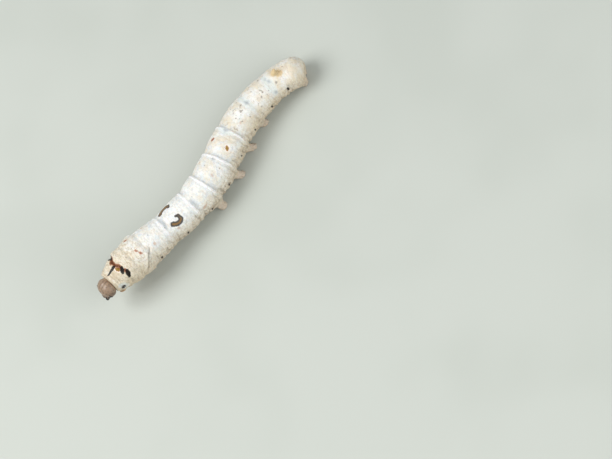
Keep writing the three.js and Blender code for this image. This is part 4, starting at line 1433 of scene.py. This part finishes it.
@dataclass
class Mouth:
    """The parts of the mouth, each an egg shape in the head's axes with its own working edge."""

    place: HeadPlace
    teeth: int = 5
    tooth_depth: float = 0.14
    tooth_ends: tuple[float, float] = (0.3, 0.8)
    notch_depth: float = 0.35
    notch_width: float = 0.3

    def egg(self, name: str, centre: tuple[float, float, float], half: tuple[float, float, float],
            shape: Callable[[Array], Array] = lambda v: v) -> Piece:
        """A rounded piece with this centre and these half sizes, changed by shape."""
        def place(direction: Array) -> Array:
            """A point of the piece."""
            return self.place.world(np.array(centre) + shape(direction) * np.array(half))

        return shaped_ball(name, 36, 24, place)

    def notched(self, v: Array) -> Array:
        """Cuts a notch into the middle of the free edge."""
        notch = 1 - self.notch_depth * np.exp(-((v[:, 1] / self.notch_width) ** 2)) * (v[:, 0] > 0)
        return v * np.stack([notch, np.ones(len(v)), np.ones(len(v))], -1)

    def toothed(self, v: Array) -> Array:
        """Cuts teeth into the free edge."""
        ridges = np.abs(np.sin(v[:, 2] * self.teeth * math.pi / 2))
        cut = 1 - self.tooth_depth * smooth_between(*self.tooth_ends, v[:, 0]) * ridges
        return v * np.stack([cut, np.ones(len(v)), np.ones(len(v))], -1)

    def palp(self, side: Side) -> Piece:
        """A maxilla with its little jointed feeler."""
        base = self.egg("maxilla_base", (1.75, side.value * 0.98, -0.62), (0.68, 0.3, 0.36))
        ends = self.place.world(np.array([[2.1, side.value * 0.98, -0.62], [2.3, side.value * 0.97, -0.63],
                                          [2.46, side.value * 0.95, -0.64]]))
        size = ((0, 0.2), (0.45, 0.19), (0.5, 0.13), (0.9, 0.11), (1, 0.05))
        feeler = limb("maxilla_feeler", Bow(*ends), size, 24, 16)
        return join([base, feeler], f"maxilla_{side.word}_palp")

    def labium(self) -> Piece:
        """The lower lip with the spinneret, the tube that the silk leaves by."""
        lip = self.egg("lower_lip", (1.85, 0, -0.72), (0.6, 0.48, 0.4))
        ends = self.place.world(np.array([[1.9, 0, -0.72], [2.5, 0, -0.72], [2.98, 0, -0.72]]))
        size = ((0, 0.26), (0.55, 0.24), (0.62, 0.19), (0.97, 0.15), (1, 0.08))
        return join([lip, limb("spinneret", Bow(*ends), size, 30, 20)], "lower_lip_and_spinneret")

    def build(self) -> None:
        """Builds and dresses every part of the mouth."""
        labrum = self.egg("upper_lip", (1.72, 0, 0.76), (0.5, 0.78, 0.33), self.notched)
        local = self.place.local(positions(labrum.data) / MM)
        store(labrum, "seam", 0.1 * smooth_between(1.95, 2.3, local[:, 0]))
        store(labrum, "cheek", np.full(len(labrum.data.vertices), 0.9))
        dress(labrum, HeadShell(), ["labrum"])
        dress(self.labium(), PALP_CHITIN, ["labium_and_spinneret"])
        for side in Side:
            jaw = self.egg(f"jaw_{side.word}", (2.3, side.value * 0.5, 0.14), (0.95, 0.5, 0.52), self.toothed)
            dress(jaw, JAW_CHITIN, [f"mandible_{side.word}"])
            dress(self.palp(side), PALP_CHITIN, [f"maxilla_{side.word}"])


@dataclass
class TrueLegs:
    """The jointed legs of the thorax, each ending in one hooked claw."""

    plan: BodyPlan
    share: float = 0.42
    root_angle: float = math.radians(146)
    root_depth: float = 0.72
    reach: float = 2.5
    forward: float = 0.9
    inward: float = 0.55
    size: Steps = (
        (0, 1.05), (0.2, 0.98), (0.3, 0.86), (0.32, 0.7), (0.36, 0.72), (0.56, 0.62), (0.58, 0.46),
        (0.62, 0.5), (0.78, 0.42), (0.8, 0.3), (0.84, 0.33), (0.97, 0.24), (1, 0.1),
    )
    claw_size: Steps = ((0, 0.2), (0.4, 0.15), (0.8, 0.07), (1, 0.02))

    def bow(self, row: int, side: Side) -> Bow:
        """The curve of one leg from inside the body to its last joint."""
        s = np.array([self.plan.creases[row] + self.share * self.plan.segments[row].length])
        _, tailward, left, back = (part[0] for part in self.plan.axes(s))
        root = self.plan.skin(s, np.array([side.value * self.root_angle]), self.root_depth)[0]
        knee = root - back * 0.55 * self.reach + left * side.value * 0.6
        end = root - back * self.reach - tailward * self.forward - left * side.value * self.inward
        return Bow(root, knee, end)

    def build(self) -> None:
        """Builds and dresses the six legs, and their claws as one piece."""
        claws = []
        for row in range(3):
            name = self.plan.segments[row].name
            for side in Side:
                bow = self.bow(row, side)
                leg = limb(f"true_leg_{name}_{side.word}", bow, self.size, 72, 28)
                dress(leg, LEG_CHITIN, [f"leg_{name}_{side.word}"])
                start, end = bow.at(np.array([0.9, 1.0]))
                hook = Bow(start, end, end + (end - start) * 0.2 - bow.way(np.array([0.5]))[0] * 0.06)
                claws.append(limb(f"claw_{name}_{side.word}", hook, self.claw_size, 24, 12))
        dress(join(claws, "leg_claws"), CLAW_CHITIN)


@dataclass
class Hairs:
    """Short pale bristles over the whole skin, finer and closer on the sides and the legs."""

    plan: BodyPlan
    skin: Piece
    count: int = 1300
    length: float = 0.32
    thickness: float = 0.014
    lean: float = 0.55
    seed: int = 11
    back_share: float = 0.25
    limb_share: float = 0.8
    limb_rise: tuple[float, float] = (0.3, 1)
    side_turn: tuple[float, float] = (60, 100)
    tail_ends: tuple[float, float] = (56, 64)
    bare_height: float = 0.7
    bare_neck: float = 0.4

    def build(self) -> Piece:
        """Stands one three-sided bristle on each of a seeded draw of the skin's vertices."""
        points, normals = positions(self.skin.data) / MM, positions(self.skin.data, "vector")
        s, angle, beyond = self.plan.locate(points)
        draw = np.random.default_rng(self.seed)
        turn = np.abs(np.degrees(angle))
        limbs = self.limb_share * smooth_between(*self.limb_rise, beyond)
        weight = self.back_share + smooth_between(*self.side_turn, turn) + limbs
        weight = weight + smooth_between(*self.tail_ends, s)
        weight *= (points[:, 2] > self.bare_height) & (s > self.bare_neck)
        chosen = draw.choice(len(points), self.count, replace=False, p=weight / weight.sum())
        root, out = points[chosen], normals[chosen]
        tailward = self.plan.axes(s[chosen])[1]
        lie = unit(out + tailward * self.lean * draw.uniform(0.2, 1.4, (self.count, 1))
                   + draw.normal(0, 0.25, (self.count, 3)))
        length = self.length * draw.uniform(0.55, 1.5, (self.count, 1))
        length *= 1 - 0.5 * smooth_between(1.4, 0.7, root[:, 2:3])
        side = unit(np.cross(lie, UP + 0.01))
        third = np.cross(lie, side)
        ring = [root - lie * 0.05 + (side * math.cos(t) + third * math.sin(t)) * self.thickness
                for t in (0, 2 * math.pi / 3, 4 * math.pi / 3)]
        tip = root + lie * length
        verts = np.stack([*ring, tip], 1).reshape(-1, 3)
        verts[:, 2] = np.maximum(verts[:, 2], 0.02)
        base = np.arange(self.count)[:, None] * 4
        faces = np.concatenate([base + f for f in ((0, 1, 3), (1, 2, 3), (2, 0, 3), (0, 2, 1))])
        mesh = bpy.data.meshes.new("bristles")
        mesh.from_pydata((verts * MM).tolist(), [], faces.tolist())
        self.lay_out(mesh, s[chosen], angle[chosen], faces)
        piece = bpy.data.objects.new("bristles", mesh)
        bpy.context.collection.objects.link(piece)
        return piece

    def lay_out(self, mesh: bpy.types.Mesh, s: Array, angle: Array, faces: Array) -> None:
        """Gives each bristle a small patch of the UV map, at its root's place on the unrolled skin."""
        layer = mesh.uv_layers.new(name="OFBake")
        patch = np.array([[0, 0], [0.003, 0], [0.003, 0.003], [0, 0.003]])
        hair, corner = faces.ravel() // 4, faces.ravel() % 4
        u = 0.02 + 0.95 * s[hair] / self.plan.length
        v = 0.02 + 0.95 * (angle[hair] / (2 * math.pi) + 0.5)
        layer.data.foreach_set("uv", (np.stack([u, v], -1) + patch[corner]).ravel())

    def dress(self, piece: Piece) -> None:
        """Gives the bristles their finish."""
        dress(piece, HAIR_CHITIN)


@dataclass
class Crochets:
    """The band of tiny hooks along the inner edge of each sole."""

    skin: Skin
    hooks: int = 14
    inset: float = 0.9
    height: float = 0.14
    spread: float = math.radians(110)
    thickness: Steps = ((0, 0.045), (0.6, 0.038), (1, 0.012))

    def build(self) -> Piece:
        """Models one hook, and copies it along the edge of every sole."""
        bow = Bow(np.array([0, 0, self.height + 0.08]), np.array([0.18, 0, 0.1]), np.array([0.02, 0, 0.03]))
        hook = limb("hook", bow, self.thickness, 6, 6)
        local = positions(hook.data) / MM
        made = []
        for side, s, sole, radius in self.soles():
            inward = -side.value * self.skin.plan.axes(np.array([s]))[2][0]
            start = math.atan2(inward[1], inward[0])
            for k in range(self.hooks):
                turn = start + (k / (self.hooks - 1) - 0.5) * self.spread
                out = np.array([math.cos(turn), math.sin(turn), 0])
                aside = np.array([-math.sin(turn), math.cos(turn), 0])
                each = copied(hook, f"hook_{k}")
                level = sole + out * (radius * self.inset + local[:, :1]) + aside * local[:, 1:2]
                move_vertices(each, level + UP * local[:, 2:])
                made.append(each)
        bpy.data.objects.remove(hook)
        return join(made, "crochets")

    def soles(self) -> list[tuple[Side, float, Array, float]]:
        """Every sole: its side, its place along the body, its middle and its radius."""
        rows = []
        for side in Side:
            radius = self.skin.proleg_size[-1][1]
            rows += [(side, *self.skin.proleg_sole(row, side), radius) for row in self.skin.soles]
            rows.append((side, *self.skin.clasper_sole(side), self.skin.clasper_size[-1][1]))
        return rows

    def dress(self, piece: Piece) -> None:
        """Gives the hooks their finish."""
        dress(piece, HOOK_CHITIN)


@dataclass(frozen=True)
class Lamp:
    """A square soft light: its place and size in millimetres, and its power in watts."""

    name: str
    place: tuple[float, float, float]
    size: float
    power: float


@dataclass
class Studio:
    """The pale floor, the soft lights and the camera."""

    elevation: float = math.radians(60)
    roll: float = math.radians(47.6)
    distance: float = 700.0
    mm_per_pixel: float = 0.223
    subject: tuple[float, float, float] = (0.065, -1.29, 5.5)
    subject_pixel: tuple[float, float] = (205.6, 180.5)
    picture: tuple[int, int] = (612, 459)
    sensor: float = 36.0
    floor_size: float = 4000.0
    floor_colour: str = "#c4c8c0"
    floor_patch: str = "#b8bdb4"
    sky_colour: str = "#eef2f4"
    sky_strength: float = 0.43
    clip: tuple[float, float] = (0.01, 20)
    lamps: tuple[Lamp, ...] = (
        Lamp("key", (-240, 110, 400), 320, 1.85), Lamp("fill", (150, -320, 260), 360, 0.9),
    )

    def build(self) -> None:
        """Sets up the whole studio."""
        self.floor()
        self.camera()
        bpy.context.scene.view_settings.view_transform = "Standard"
        for lamp in self.lamps:
            self.light(lamp)
        world = bpy.context.scene.world or bpy.data.worlds.new("studio")
        bpy.context.scene.world = world
        world.use_nodes = True
        background = world.node_tree.nodes["Background"]
        background.inputs["Color"].default_value = linear(self.sky_colour)
        background.inputs["Strength"].default_value = self.sky_strength

    def floor(self) -> None:
        """A flat, matt painted board under the model."""
        bpy.ops.object.select_all(action="DESELECT")
        bpy.ops.mesh.primitive_plane_add(size=self.floor_size * MM)
        floor = bpy.context.active_object
        floor.name = "studio_floor"
        paint = Paint("board_matt_painted", self.floor_colour, Roughness=0.8)
        paint.lay(self.floor_patch, paint.ramp(paint.noise(40, 2), 0.4, 0.7), 0.4)
        paint.raise_by(paint.noise(0.5, 3), 0.02)
        floor.data.materials.append(paint.finished(0.3))

    def camera(self) -> None:
        """A long lens over the animal's left side, rolled so that the body lies across the picture."""
        back = np.array([0, -math.cos(self.elevation), math.sin(self.elevation)])
        level, rise = np.array([1.0, 0, 0]), np.cross(back, [1.0, 0, 0])
        right = math.cos(self.roll) * level - math.sin(self.roll) * rise
        up = math.sin(self.roll) * level + math.cos(self.roll) * rise
        off = (np.array(self.subject_pixel) - np.array(self.picture) / 2) * self.mm_per_pixel
        target = np.array(self.subject) - right * off[0] + up * off[1]
        data = bpy.data.cameras.new("camera")
        data.sensor_width = self.sensor
        data.lens = self.distance / self.mm_per_pixel * self.sensor / self.picture[0]
        data.clip_start, data.clip_end = self.clip
        camera = bpy.data.objects.new("camera", data)
        bpy.context.collection.objects.link(camera)
        eye = Vector((target + back * self.distance) * MM)
        facing = Matrix(np.stack([right, up, back], -1).tolist())
        camera.matrix_world = Matrix.LocRotScale(eye, facing.to_quaternion(), None)
        bpy.context.scene.camera = camera

    def light(self, lamp: Lamp) -> None:
        """Adds one lamp, aimed at the model."""
        data = bpy.data.lights.new(lamp.name, "AREA")
        data.size, data.energy = lamp.size * MM, lamp.power
        made = bpy.data.objects.new(lamp.name, data)
        made.location = Vector(lamp.place) * MM
        made.rotation_euler = (-Vector(lamp.place)).to_track_quat("-Z", "Y").to_euler()
        bpy.context.collection.objects.link(made)


def main() -> None:
    """Builds and dresses the larva, and sets up the studio."""
    logging.basicConfig(level=logging.INFO, format="%(name)s %(message)s")
    plan = BodyPlan()
    assembly = Skin(plan)
    skin = assembly.build()
    assembly.dress(skin)
    Spiracles(plan).build()
    place = HeadPlace(plan)
    Head(place).build()
    Mouth(place).build()
    TrueLegs(plan).build()
    hairs = Hairs(plan, skin)
    hairs.dress(hairs.build())
    crochets = Crochets(assembly)
    crochets.dress(crochets.build())
    Studio().build()


if __name__ == "__main__":
    main()
